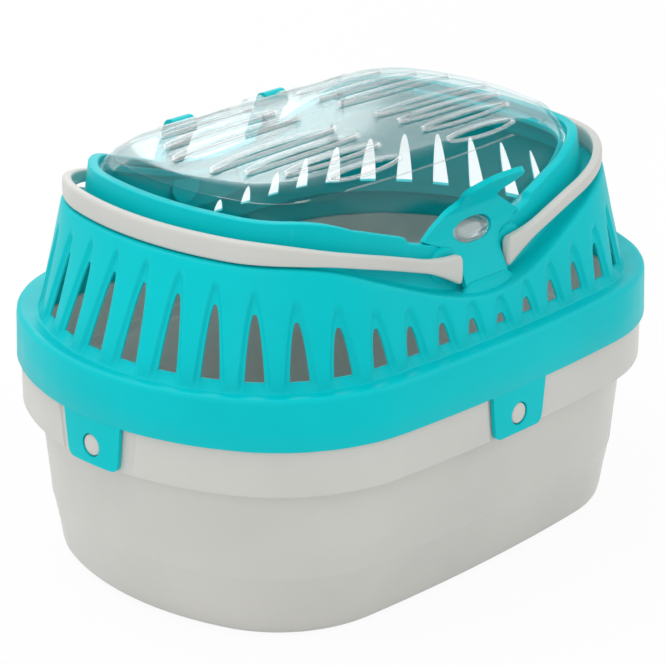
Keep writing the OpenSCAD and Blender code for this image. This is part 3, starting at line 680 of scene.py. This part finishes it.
def lidRow(share, inward, up):
    # without a share a row follows the collar's rim, otherwise it lies that share of the straight
    # way from beside the rim to the crease
    run = np.linspace(0, 4 * quarter, lid["columns"], endpoint=False)
    endIn, sideIn, rim = rimEdge(run)
    if share is None:
        edge = columns(endIn, sideIn, rim, run)
        return rowBetween(edge, edge, 0, inward, up)
    foot = lid["edge"] + lid["flange"] * (1 - 0.85 * swell(footX(run), levels["rimReach"]))
    low = columns(endIn + foot, sideIn + foot, rim - 1.4, run)
    reach = onOutline(run, lid["creaseEnd"], lid["creaseSide"])[0] / 100
    high = columns(lid["creaseEnd"], lid["creaseSide"],
                   levels["crease"] + levels["creaseRise"] * reach ** 2, run)
    return rowBetween(low, high, share, inward, up)


def ventPlaces():
    # centre line of each vent: (low x, high x, y), mirrored into four quarters
    out = []
    for row in range(4):
        reach = lid["ventLength"] * (1 - 0.08 * row - 0.02 * row * row) - lid["ventWidth"]
        start = lid["ventStart"] + 0.3 * row * row
        y = lid["ventPitch"] * (row + lid["ventFirst"])
        ends = (start, start + reach)
        out += [(*sorted(s * x for x in ends), t * y) for s in (-1, 1) for t in (-1, 1)]
    return out


creaseRing = placeRows([lidRow(1.0, 0, 0)])[0]
creaseAngle = np.arctan2(creaseRing[:, 1], creaseRing[:, 0])
creaseSize = np.hypot(creaseRing[:, 0], creaseRing[:, 1])


def domeZ(x, y):
    # height of the dome: with u the share of the way from the middle to the crease, the root of
    # 1 - u to the 3.2, on a base that rises with the square of the distance from the middle
    size = np.interp(np.arctan2(y, x), creaseAngle, creaseSize, period=2 * np.pi)
    u = np.clip(np.hypot(x, y) / size, 0, 1)
    return (levels["crease"] + levels["creaseRise"] * (x / 100) ** 2
            + lid["domeHeight"] * np.sqrt(1 - u ** 3.2))


def ventHalf(x, lo, hi):
    # half width of a vent: it tapers with the power 2.4 of the distance from its middle
    t = np.abs(2 * x - lo - hi) / (hi - lo)
    return lid["ventWidth"] / 2 * (1 - lid["ventTaper"] * np.clip(t, 0, 1) ** 2.4)


def buildLid():
    # rim, skirt and crease as rows, then shrinking copies of the crease on the dome
    cols = lid["columns"]
    skirt = roundedRows([
        lidRow(None, lid["edge"], -3.8), (lidRow(None, lid["edge"], -2.0), 0.7),
        (lidRow(0, -0.1, -0.2), 1.2), (lidRow(0.5, -0.5, 0.0), 6.0),
        (lidRow(1.0, -0.1, -0.3), 1.1), lidRow(1.0, 0.6, 2.2)], 5)
    outer = placeRows(skirt[:-1])
    shares = 1 - np.linspace(0.09, 0.985, 66) ** 1.35
    ring = creaseRing[None, :, :2] * shares[:, None, None]
    # the dome starts where the crease's rounding ends
    blend = smooth((1 - shares[:, None]) / 0.07)
    start = outer[-1, None, :, :2] * (shares / shares[0])[:, None, None]
    xy = start * (1 - blend[..., None]) + ring * blend[..., None]
    z = domeZ(xy[..., 0], xy[..., 1])
    z = np.where(blend < 1, outer[-1, None, :, 2] * (1 - blend) + z * blend, z)
    # points near a vent's outline move onto it; depth is how far outside all vents a point lies
    depth = np.full(z.shape, 99.0)
    for lo, hi, y0 in ventPlaces():
        cx = np.clip(xy[..., 0], lo, hi)
        dx, dy = xy[..., 0] - cx, xy[..., 1] - y0
        size = np.maximum(np.hypot(dx, dy), 1e-6)
        half = ventHalf(cx, lo, hi)
        d = size - half
        near = np.abs(d) < 0.85
        xy[..., 0] = np.where(near, cx + dx / size * half, xy[..., 0])
        xy[..., 1] = np.where(near, y0 + dy / size * half, xy[..., 1])
        depth = np.minimum(depth, np.where(near, 0, d))
    dome = np.concatenate([xy, z[..., None]], -1)
    pts = np.concatenate([outer.reshape(-1, 3), dome.reshape(-1, 3)])
    rows = len(outer) + len(shares)
    faces = gridFaces(rows, cols, False, True).reshape(rows - 1, cols, 4)
    a = np.concatenate([np.full((len(outer), cols), 99.0), depth]).reshape(-1)[faces]
    keep = ~((a.max(-1) <= 1e-9) & (a.min(-1) < 1e-9) | (a.mean(-1) < -0.05))
    return dropUnused(pts, faces[keep].tolist() + [capFaces(rows, cols)[1]])


def ventBeads():
    # a rib round each vent: an ellipse, wider than tall, carried along the vent's outline
    bead, sides = lid["bead"], lid["beadSides"]
    t = around(sides)
    a = np.linspace(-np.pi / 2, np.pi / 2, 13)
    s = np.linspace(0, 1, 24)[1:-1]
    parts = []
    for lo, hi, y0 in ventPlaces():
        half = ventHalf(hi, lo, hi) + bead * 0.6
        topX, lowX = hi + (lo - hi) * s, lo + (hi - lo) * s
        path = np.concatenate([
            columns(hi + half * np.cos(a), y0 + half * np.sin(a)),
            columns(topX, y0 + ventHalf(topX, lo, hi) + bead * 0.6),
            columns(lo - half * np.cos(a), y0 - half * np.sin(a)),
            columns(lowX, y0 - ventHalf(lowX, lo, hi) - bead * 0.6)])
        n = np.roll(path, -1, 0) - np.roll(path, 1, 0)
        n = columns(n[:, 1], -n[:, 0]) / np.linalg.norm(n, axis=1)[:, None]
        x, y, z = path[:, :1], path[:, 1:], domeZ(path[:, 0], path[:, 1])[:, None]
        pts = columns(x + n[:, :1] * bead * np.cos(t), y + n[:, 1:] * bead * np.cos(t),
                      z - 0.2 + bead * 0.8 * np.sin(t))
        parts.append((pts, gridFaces(len(path), sides, True, True).tolist()))
    return joinParts(parts)


# tub

tub = {
    "recess": 2.8,           # inset of the recesses behind the snap tabs
    "recessLow": 72.15,
    "recessTall": 20.8,
    "recessFoot": 16.25,     # half widths at the recess's foot and root
    "recessRoot": 18.5,
    "buttonRadius": 4.8,
    "buttonHeight": 80.8,
}
# column parameter: up to 1 in the recess, then on to the middle of the corner
tubHalf = np.concatenate([np.linspace(0, 0.96, 6), [1.0], 1.004 + np.linspace(0, 0.985, 27)])
tubParam = np.concatenate([tubHalf[::-1][1:], tubHalf[1:]])
tubSide = np.concatenate([-np.ones(len(tubHalf) - 1), np.ones(len(tubHalf) - 1)])


def tubRow(inset, z, side=None, recessed=False):
    # four stretches, one about the middle of each side; p up to 1 lies in the recess
    share = np.clip((z - tub["recessLow"]) / tub["recessTall"], 0, 1)
    half = tub["recessFoot"] + (tub["recessRoot"] - tub["recessFoot"]) * share
    off = np.where(tubParam <= 1, half * tubParam, half + (quarter / 2 - half) * (tubParam - 1))
    run = (np.arange(4)[:, None] * quarter + (tubSide * off)[None]).ravel()
    row = flatRow(run, inset, z, side)
    if recessed:
        within = np.tile(tubParam <= 1, 4)
        row[within, :2] = np.maximum(row[within, :2], tub["recess"])
    return row


def buildTub():
    # rows from the underside up the outside, over the rim and down inside, and the four buttons
    top = levels["tubTop"]
    outer = roundedRows([(tubRow(inset, z, side), radius) for inset, side, z, radius in (
        (30, 29, 0, 0), (23.6, 22.8, 0, 2), (20.2, 19.6, 1.6, 2), (18.9, 18.5, 5, 3),
        (17.6, 17.4, 13.5, 4), (15, 15, 26.6, 1.5), (14.3, 14.3, 28.6, 1.2), (14, 14, 34, 3),
        (12.55, 12.55, 50, 6), (10.45, 10.45, 71.9, 1.4), (3.1, 3.1, 72, 0))])
    band = [tubRow(inset, z, recessed=True) for inset, z in (
        (2.6, 72.05), (2.2, 72.3), (2.05, 72.8), (2.05, 76), (2.05, 84), (2.05, 92.95),
        (2.05, top - 0.6), (2.4, top - 0.05))]
    inner = roundedRows([(tubRow(inset, z), radius) for inset, z, radius in (
        (4.3, top, 0), (4.45, top - 0.4, 0), (4.45, 75, 1.5), (12.85, 73.6, 1.5), (14.95, 50, 5),
        (16.8, 28.6, 2), (20, 14.5, 4), (22.6, 5.2, 3), (26.5, 2.6, 2), (34, 2.6, 0))])
    parts = [tube(placeRows(outer + band + inner))]
    parts[0][1][-2].reverse()
    r = tub["buttonRadius"]
    profile = [(0.05, 0.0), (2.2, -0.02), (r - 0.9, 0.06), (r - 0.35, 0.22), (r - 0.08, 0.5),
               (r, 0.9), (r, 3.6)]
    for turn in range(4):
        a = math.radians(90 * turn)
        back = np.array([-math.sin(a), math.cos(a), 0.0])
        across = np.array([math.cos(a), math.sin(a), 0.0])
        half = plan["width"] / 2 if turn % 2 == 0 else plan["length"] / 2
        centre = -back * (half - 0.6) + zAxis * tub["buttonHeight"]
        parts.append(lathe(profile, 48, centre, (across, zAxis, back)))
    return joinParts(parts)


# carry handles

handle = {
    "endInset": 29.4,
    "sideInset": 20.6,
    "wall": 4.5,
    "grip": 9.7,
    "neck": 6.0,
    "eye": 13.6,
    "rise": 22.3,
    "run": 90.0,
    "gripFrom": 81.99,
    "gripBlend": 36.0,
    "pivotX": 21.0,
    "pivotZ": 147.0,
    "start": 14.8,
    "endRound": 3.2,
    "eyeFrom": 36.5,         # the bar widens from here towards its end
    "eyeReach": 20.5,
    "square": 4.6,           # how square the bar's section is: 2 is an ellipse
}


def buildHandle(side):
    # half of the bail from its front end round to the middle, then mirrored to the back
    run = np.linspace(0, quarter, 900)
    x, y = onOutline(run, handle["endInset"], handle["sideInset"])
    length = np.concatenate([[0], np.cumsum(np.hypot(np.diff(x), np.diff(y)))])
    start = np.interp(handle["start"], x[:400], length[:400])
    bend = handle["endRound"]
    t = np.concatenate([start + bend * (1 - np.cos(np.linspace(0, np.pi / 2, 12))),
                        np.linspace(start + bend + 1, length[-1], 90)])
    px, py = np.interp(t, length, x), np.interp(t, length, y)
    nx, ny = np.gradient(py, t), -np.gradient(px, t)
    size = np.hypot(nx, ny)
    nx, ny = nx / size, ny / size
    neck = handle["neck"]
    grip = smooth((px - handle["gripFrom"]) / handle["gripBlend"])
    eye = np.clip((handle["eyeFrom"] - px) / handle["eyeReach"], 0, 1) ** 1.5
    tall = neck + (handle["grip"] - neck) * grip + (handle["eye"] - neck) * eye
    u = np.clip((px - handle["pivotX"]) / handle["run"], None, 1)
    z = handle["pivotZ"] + handle["rise"] * u * (1.3 - 0.3 * u ** 3)
    # the end is rounded as seen from the side, then made thinner towards its rim
    e = np.clip((t - start) / bend, 0, 1)
    tall = tall - bend * 2 * (1 - (1 - (1 - e) ** 2.5) ** (1 / 2.5))
    thick = handle["wall"] * np.clip(0.5 + (t - start) / 1.4, 0.5, 1)
    sx, sz = powered(around(32), 2 / handle["square"])
    away = sx * thick[:, None] / 2 - handle["wall"] / 2
    pts = columns(px[:, None] + nx[:, None] * away, py[:, None] + ny[:, None] * away,
                  z[:, None] + sz * tall[:, None] / 2)
    back = pts[::-1][1:].copy()
    back[..., 1] *= -1
    pts = np.concatenate([pts, back])
    pts[..., 0] *= side
    parts = [tube(pts)]
    pin = [(0.1, 0.0), (2.5, 0.0), (2.5, 4.8), (2.2, 5.2), (0.1, 5.2)]
    for s in (-1, 1):
        centre = np.array([side * handle["pivotX"], s * 84.2, handle["pivotZ"]])
        parts.append(lathe(pin, 32, centre, (xAxis, zAxis, -s * yAxis)))
    return joinParts(parts)


# snap tabs

tab = {
    "footHalf": 15.25,
    "rootHalf": 17.5,
    "low": 72.15,
    "high": 93.2,
    "corner": 3.4,
    "hole": 5.2,
    "holeHeight": 80.8,
    "inset": 0.2,
    "wall": 2.2,
}


def buildTab(turn):
    # rays from the hole to the tab's outline, wrapped on the band
    foot, root, r = tab["footHalf"], tab["rootHalf"], tab["corner"]
    low, high = tab["low"], tab["high"]
    arc = np.linspace(0, np.pi / 2, 7)
    right = np.concatenate([
        columns(np.linspace(0, foot - r, 8)[:-1], low),
        columns(foot - r + r * np.sin(arc) + 0.1 * arc, low + r - r * np.cos(arc)),
        columns(np.linspace(foot + 0.37, root, 9)[1:], np.linspace(low + r, high, 9)[1:]),
        columns(np.linspace(root, 0, 12)[1:], high)])
    left = right[::-1][1:-1] * np.array([-1, 1])
    border = np.concatenate([right, left])
    a = np.arctan2(border[:, 1] - tab["holeHeight"], border[:, 0])
    ring = columns(tab["hole"] * np.cos(a), tab["holeHeight"] + tab["hole"] * np.sin(a))
    c = np.array([0, 0.1, 0.3, 0.55, 0.8, 0.95, 1.0])[:, None, None]
    flat = ring[None] + c * (border - ring)[None]
    g = arcsOf(tab["inset"], tab["inset"])
    middle, radius = (g["qx"], g["endR"]) if turn % 2 else (g["py"], g["sideR"])
    out = middle + np.sqrt(radius ** 2 - flat[..., 0] ** 2)
    t = math.radians(90 * turn)
    x = flat[..., 0] * math.cos(t) + out * math.sin(t)
    y = flat[..., 0] * math.sin(t) - out * math.cos(t)
    pts = columns(x, y, flat[..., 1])
    return pts.reshape(-1, 3), gridFaces(len(c), len(border), False, True)[:, ::-1].tolist()


# finishes

colours = {
    "turquoise": (0.0, 0.545, 0.585),
    "grey": (0.60, 0.595, 0.565),
    "clear": (0.93, 0.98, 0.985),
    "shine": (0.97, 0.98, 0.98),
}


def nodeIn(tree, kind, **values):
    # a new node, with each value put on the input or the property of that name
    n = tree.nodes.new(kind)
    for key, value in values.items():
        if key in n.inputs:
            n.inputs[key].default_value = value
        else:
            setattr(n, key, value)
    return n


def joinSockets(tree, *pairs):
    # a link for each (output, input) pair
    for source, target in pairs:
        tree.links.new(source, target)


def rangeOf(tree, source, fromLow, fromHigh, low, high):
    # a value between fromLow and fromHigh carried straight to between low and high
    n = nodeIn(tree, "ShaderNodeMapRange")
    for i, value in enumerate((fromLow, fromHigh, low, high)):
        n.inputs[i + 1].default_value = value
    joinSockets(tree, (source, n.inputs[0]))
    return n.outputs[0]


def noiseOf(tree, coords, scale, detail, rough):
    # noise in the piece's own space: scale is how many cells lie in a metre
    n = nodeIn(tree, "ShaderNodeTexNoise", Scale=scale, Detail=detail, Roughness=rough)
    joinSockets(tree, (coords.outputs["Object"], n.inputs["Vector"]))
    return n.outputs[0]


def bumpOf(tree, height, strength, distance):
    # a height as a tilt of the surface
    n = nodeIn(tree, "ShaderNodeBump", Strength=strength, Distance=distance)
    joinSockets(tree, (height, n.inputs["Height"]))
    return n.outputs[0]


def mixShaders(tree, share, first, second, out):
    # the first shader where the share is 0, the second where it is 1
    mix = nodeIn(tree, "ShaderNodeMixShader")
    joinSockets(tree, (share, mix.inputs[0]), (first.outputs[0], mix.inputs[1]),
                (second.outputs[0], mix.inputs[2]), (mix.outputs[0], out.inputs["Surface"]))


def newFinish(name):
    # a material with its tree and its texture coordinates
    mat = bpy.data.materials.new(name)
    mat.use_nodes = True
    return mat, mat.node_tree, nodeIn(mat.node_tree, "ShaderNodeTexCoord")


def plasticFinish(name, colour, rough, sheen, paleEdgeShare):
    # moulded plastic: fine grain as bump, slow changes of colour and gloss, and sharp edges
    # painted paler as a painted sheen
    mat, tree, coords = newFinish(name)
    shader = tree.nodes["Principled BSDF"]
    fine = noiseOf(tree, coords, 1400.0, 3.0, 0.6)
    slow = noiseOf(tree, coords, 16.0, 4.0, 0.55)
    flow = noiseOf(tree, coords, 70.0, 2.0, 0.5)
    tint = nodeIn(tree, "ShaderNodeMix", data_type="RGBA", blend_type="MULTIPLY")
    tint.inputs[0].default_value = 1.0
    tint.inputs[6].default_value = (*colour, 1)
    geometry = nodeIn(tree, "ShaderNodeNewGeometry")
    # painted sheen: where the pointiness marks a sharp edge, the colour is mixed towards a paler
    # one
    paintedEdgeSheen = nodeIn(tree, "ShaderNodeMix", data_type="RGBA")
    paintedEdgeSheen.inputs[7].default_value = (*(min(1.0, c * 0.7 + 0.3) for c in colour), 1)
    joinSockets(
        tree,
        (rangeOf(tree, slow, 0.3, 0.7, 0.955, 1.03), tint.inputs[7]),
        (rangeOf(tree, geometry.outputs["Pointiness"], 0.52, 0.6, 0.0, paleEdgeShare), paintedEdgeSheen.inputs[0]),
        (tint.outputs[2], paintedEdgeSheen.inputs[6]),
        (paintedEdgeSheen.outputs[2], shader.inputs["Base Color"]),
        (rangeOf(tree, flow, 0.25, 0.75, rough - 0.05, rough + 0.07), shader.inputs["Roughness"]),
        (bumpOf(tree, fine, 0.5, 0.000012), shader.inputs["Normal"]))
    shader.inputs["IOR"].default_value = 1.49
    shader.inputs["Specular IOR Level"].default_value = sheen
    return mat


def clearFinish(name, colour, shineColour, least):
    # clear plastic: a transparent share and a glossy share, stronger at grazing angles and
    # weaker on the inner side
    mat, tree, coords = newFinish(name)
    tree.nodes.remove(tree.nodes["Principled BSDF"])
    bump = bumpOf(tree, noiseOf(tree, coords, 38.0, 3.0, 0.5), 0.35, 0.0003)
    gloss = rangeOf(tree, noiseOf(tree, coords, 260.0, 4.0, 0.65), 0.3, 0.75, 0.12, 0.24)
    clear = nodeIn(tree, "ShaderNodeBsdfTransparent", Color=(*colour, 1))
    shine = nodeIn(tree, "ShaderNodeBsdfPrincipled", Metallic=1.0)
    shine.inputs["Base Color"].default_value = (*shineColour, 1)
    rim = nodeIn(tree, "ShaderNodeLayerWeight", Blend=0.1)
    geometry = nodeIn(tree, "ShaderNodeNewGeometry")
    both = nodeIn(tree, "ShaderNodeMath", operation="MULTIPLY")
    joinSockets(
        tree,
        (gloss, shine.inputs["Roughness"]), (bump, shine.inputs["Normal"]),
        (bump, rim.inputs["Normal"]),
        (rangeOf(tree, rim.outputs["Fresnel"], 0.0, 1.0, least, 0.9), both.inputs[0]),
        (rangeOf(tree, geometry.outputs["Backfacing"], 0.0, 1.0, 1.0, 0.4), both.inputs[1]))
    mixShaders(tree, both.outputs[0], clear, shine, tree.nodes["Material Output"])
    return mat


# the last number of each plastic is the share of painted sheen on its sharp edges
turquoise = plasticFinish("turquoisePlastic", colours["turquoise"], 0.36, 0.09, 0.04)
grey = plasticFinish("greyPlastic", colours["grey"], 0.34, 0.2, 0.25)
clear = clearFinish("clearPlastic", colours["clear"], colours["shine"], 0.008)
bead = clearFinish("clearBead", (0.99, 0.99, 0.99), (1.0, 1.0, 1.0), 0.26)
latchClear = clearFinish("clearBoss", colours["clear"], colours["shine"], 0.12)
print("finishes made")


# top shell with its ears, pivot bosses and the tongue's root
top = outward(newObject("top_shell_moulding", *buildShell(), turquoise, 50))
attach(top, "shell_body")
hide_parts("top_shell")
print("top shell built", len(top.data.polygons))


hinge = {
    "y": 70.225,
    "z": 178.4,
    "ear": 4.6,              # radii of the ear's eye, the lid's knuckle and its pin
    "knuckle": 3.8,
    "pin": 2.0,
    "earX": 29.5,
    "earHalf": 6.25,
    "knuckleX": (12.75, 22.75),
}


def boss(x, side):
    # round boss behind a handle's pivot, with a rounded rim and the bore in its middle
    profile = [(2.6, 3.6), (2.6, 0.0), (7.6, 0.0), (8.15, 0.2), (8.4, 0.7), (8.4, 6.5), (2.6, 6.5)]
    centre = np.array([x, side * 82.85, handle["pivotZ"]])
    return lathe(profile, 64, centre, (xAxis, zAxis, -side * yAxis))


def eyeWeb(radius, first, last, count, web):
    # an arc round the hinge's axis from one angle to another, closed by the web's corners
    a = np.linspace(math.radians(first), math.radians(last), count)
    eye = columns(hinge["y"] + radius * np.cos(a), hinge["z"] + radius * np.sin(a))
    return np.concatenate([eye, web])


def ear(side):
    # hinge ear: a round eye on a leaning web
    outline = eyeWeb(hinge["ear"], 20, 250, 26, [[76.0, 158.0], [80.3, 152.0], [82.7, 160.2]])
    x = side * hinge["earX"]
    return sidePlate(outline, x - hinge["earHalf"], x + hinge["earHalf"])


def knuckle(side):
    # the lid's plate beside an ear, with the pin that runs in it
    z = hinge["z"]
    outline = eyeWeb(hinge["knuckle"], -80, 90, 20, [[62.6, z + 2.4], [65.0, z - 5.2]])
    low, high = sorted(side * x for x in hinge["knuckleX"])
    r = hinge["pin"]
    pin = lathe([(0.1, 0), (r, 0), (r, 10.4), (r - 0.3, 10.9), (0.1, 10.9)], 32,
                np.array([side * (hinge["knuckleX"][1] - 1), hinge["y"], z]),
                (yAxis, zAxis, side * xAxis))
    return [sidePlate(outline, low, high), pin]


def latchBoss():
    # an oval, drawn at a share of its size for each depth: a raised rounded rim around a dish;
    # its cosine and sine are to the power 0.92, which makes the ends slightly fuller
    tilt = math.radians(90 - tongue["lean"])
    up = np.array([0, math.cos(tilt), math.sin(tilt)])
    back = np.array([0, -math.sin(tilt), math.cos(tilt)])
    centre = np.array([0, windowY, windowZ])
    oval = columns(*powered(around(48), 0.92)) * (
        tongue["windowWidth"] / 2 - 0.5, tongue["windowHeight"] / 2 - 0.5)
    rows = [(1.0, -9.4), (1.0, -1.2), (0.99, -0.75), (0.96, -0.5), (0.92, -0.42), (0.88, -0.55),
            (0.84, -1.1), (0.8, -1.8), (0.75, -2.2), (0.6, -2.4), (0.42, -2.5), (0.25, -2.55),
            (0.1, -2.55)]
    return tube(np.stack([centre + (oval[:, :1] * k) * xAxis + (oval[:, 1:] * k) * up + d * back
                          for k, d in rows]))


def tongueRoot():
    # hollow fairing from the shoulder up to the tongue's foot, fading out to both sides
    half = 24.0
    across = np.linspace(-1, 1, 41)
    gain = 1 - smooth((np.abs(across) * half - tongue["stemHalf"] + 3.0) / 12.0)
    profile = smoothPath([(-95.6, 132.2), (-93.4, 132.9), (-91.4, 134.0), (-90.0, 135.5),
                          (-89.25, 137.3), (-89.05, 138.7)], 16)
    back = np.array([[-87.2, 138.4], [-86.6, 134.0], [-86.8, 131.4], [-95.0, 131.2]])
    section = np.concatenate([profile, back])
    low = np.array([-90.0, 132.2])
    y = low[0] + (section[:, 0, None] - low[0]) * np.maximum(gain, 0.25)
    z = np.minimum(section[:, 1, None], low[1] + (section[:, 1, None] - low[1]) * gain)
    pts = columns(half * across, y, z)
    rows, cols = y.shape
    faces = gridFaces(rows, cols, True, False).tolist()
    faces += [[i * cols for i in range(rows)], [i * cols + cols - 1 for i in range(rows)]]
    return pts.reshape(-1, 3), faces


fittings = [boss(x, s) for x in (-handle["pivotX"], handle["pivotX"]) for s in (-1, 1)]
fittings += [ear(-1), ear(1), tongueRoot()]
extras = outward(newObject("top_shell_fittings", *joinParts(fittings), turquoise, 35))
addBevel(extras, 0.6, 3)
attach(extras, "shell_body")

# tongue
latch = newObject("latch_tongue_moulding", *buildTongue(), turquoise, 60)
addWall(latch, tongue["wall"])
addBevel(latch, 0.7, 3, 50)
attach(latch, "tongue_body")
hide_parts("latch_tongue")
print("latch tongue built")

# tub
base = outward(newObject("tub_moulding", *buildTub(), grey, 45))
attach(base, "tub_body")
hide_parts("tub")
print("tub built")

# lid
window = newObject("lid_moulding", *buildLid(), clear, 40)
addWall(window, lid["wall"])
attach(window, "lid_body")
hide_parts("lid")
beads = newObject("lid_vent_beads", *ventBeads(), bead, 80)
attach(beads, "lid_body")

fixings = [latchBoss()] + knuckle(-1) + knuckle(1)
fixings = outward(newObject("lid_fixings", *joinParts(fixings), latchClear, 40))
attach(fixings, "lid_body")
print("lid built")

# handles and tabs
for name, side, body in (("handle_left", -1, "left_bail"), ("handle_right", 1, "right_bail")):
    bail = outward(newObject(name + "_moulding", *buildHandle(side), grey, 50))
    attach(bail, body)
    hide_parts(name)
for turn, where in enumerate(("front", "right", "back", "left")):
    piece = newObject("snap_tab_" + where + "_moulding", *buildTab(turn), turquoise, 60)
    addWall(piece, tab["wall"])
    addBevel(piece, 0.35, 2, 50)
    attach(piece, where + "_tab")
    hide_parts("snap_tab_" + where)
print("handles and tabs built")


# floor, lamps and camera

studio = {
    "azimuth": -46.394,
    "elevation": 21.645,
    "distance": 1.1621,
    "aim": (0.0, 0.0, 0.09),
    "lens": 137.68,
    "shift": (-0.00716, -0.00463),
    "sky": 0.74,
    "floorGlow": 0.93,
    "floorHalf": 4000,
}

# power, size, place and aim of each soft lamp
lamps = {
    "overhead": (6.5, (1.2, 1.0), (-0.35, 0.45, 1.25), (0, 0, 0.1)),
    "leftFill": (2.8, (0.9, 0.9), (-1.3, -0.5, 0.7), (0, 0, 0.1)),
    "rightFill": (4.0, (0.9, 0.9), (0.9, -1.2, 0.8), (0, 0, 0.1)),
    "lidGlint": (1.5, (0.42, 0.75), (0.76, 0.945, 0.73), (-0.03, 0, 0.18)),
}


def whiteForCamera(tree):
    # 1 for camera, glossy and transmission rays, 0 for all others: the greatest of the three
    path = nodeIn(tree, "ShaderNodeLightPath")
    share = path.outputs["Is Camera Ray"]
    for kind in ("Is Glossy Ray", "Is Transmission Ray"):
        most = nodeIn(tree, "ShaderNodeMath", operation="MAXIMUM")
        joinSockets(tree, (share, most.inputs[0]), (path.outputs[kind], most.inputs[1]))
        share = most.outputs[0]
    return share


world = bpy.data.worlds.new("studio")
bpy.context.scene.world = world
world.use_nodes = True
tree = world.node_tree
tree.nodes.clear()
out = nodeIn(tree, "ShaderNodeOutputWorld")
dim = nodeIn(tree, "ShaderNodeBackground", Color=(1, 1, 1, 1), Strength=studio["sky"])
bright = nodeIn(tree, "ShaderNodeBackground", Color=(1, 1, 1, 1), Strength=1.0)
mixShaders(tree, whiteForCamera(tree), dim, bright, out)

floorMat = bpy.data.materials.new("floorPaper")
floorMat.use_nodes = True
tree = floorMat.node_tree
tree.nodes.clear()
out = nodeIn(tree, "ShaderNodeOutputMaterial")
paper = nodeIn(tree, "ShaderNodeBsdfDiffuse", Color=(0.85, 0.85, 0.85, 1))
glow = nodeIn(tree, "ShaderNodeEmission", Color=(1, 1, 1, 1), Strength=1.0)
part = nodeIn(tree, "ShaderNodeMath", operation="MULTIPLY")
part.inputs[1].default_value = studio["floorGlow"]
joinSockets(tree, (whiteForCamera(tree), part.inputs[0]))
mixShaders(tree, part.outputs[0], paper, glow, out)
f = studio["floorHalf"]
floor = newObject("floor", [(-f, -f, -0.3), (f, -f, -0.3), (f, f, -0.3), (-f, f, -0.3)],
                  [[0, 1, 2, 3]], floorMat)


def softLamp(name, power, size, place, aim):
    # a rectangular lamp at its place, turned to face its aim and hidden from the camera
    data = bpy.data.lights.new(name, "AREA")
    data.shape = "RECTANGLE"
    data.size, data.size_y = size
    data.energy = power
    lamp = bpy.data.objects.new(name, data)
    lamp.location = place
    lamp.rotation_euler = (Vector(place) - Vector(aim)).to_track_quat("Z", "Y").to_euler()
    lamp.visible_camera = False
    bpy.context.scene.collection.objects.link(lamp)


for name, values in lamps.items():
    softLamp(name, *values)

view = bpy.data.cameras.new("view")
view.lens = studio["lens"]
view.sensor_width = 36
view.shift_x, view.shift_y = studio["shift"]
view.clip_end = 20
camera = bpy.data.objects.new("view", view)
az, el = math.radians(studio["azimuth"]), math.radians(studio["elevation"])
away = Vector((math.sin(az) * math.cos(el), -math.cos(az) * math.cos(el), math.sin(el)))
camera.location = Vector(studio["aim"]) + away * studio["distance"]
camera.rotation_euler = away.to_track_quat("Z", "Y").to_euler()
bpy.context.scene.collection.objects.link(camera)
bpy.context.scene.camera = camera
bpy.context.scene.view_settings.view_transform = "Standard"
print("stage set")
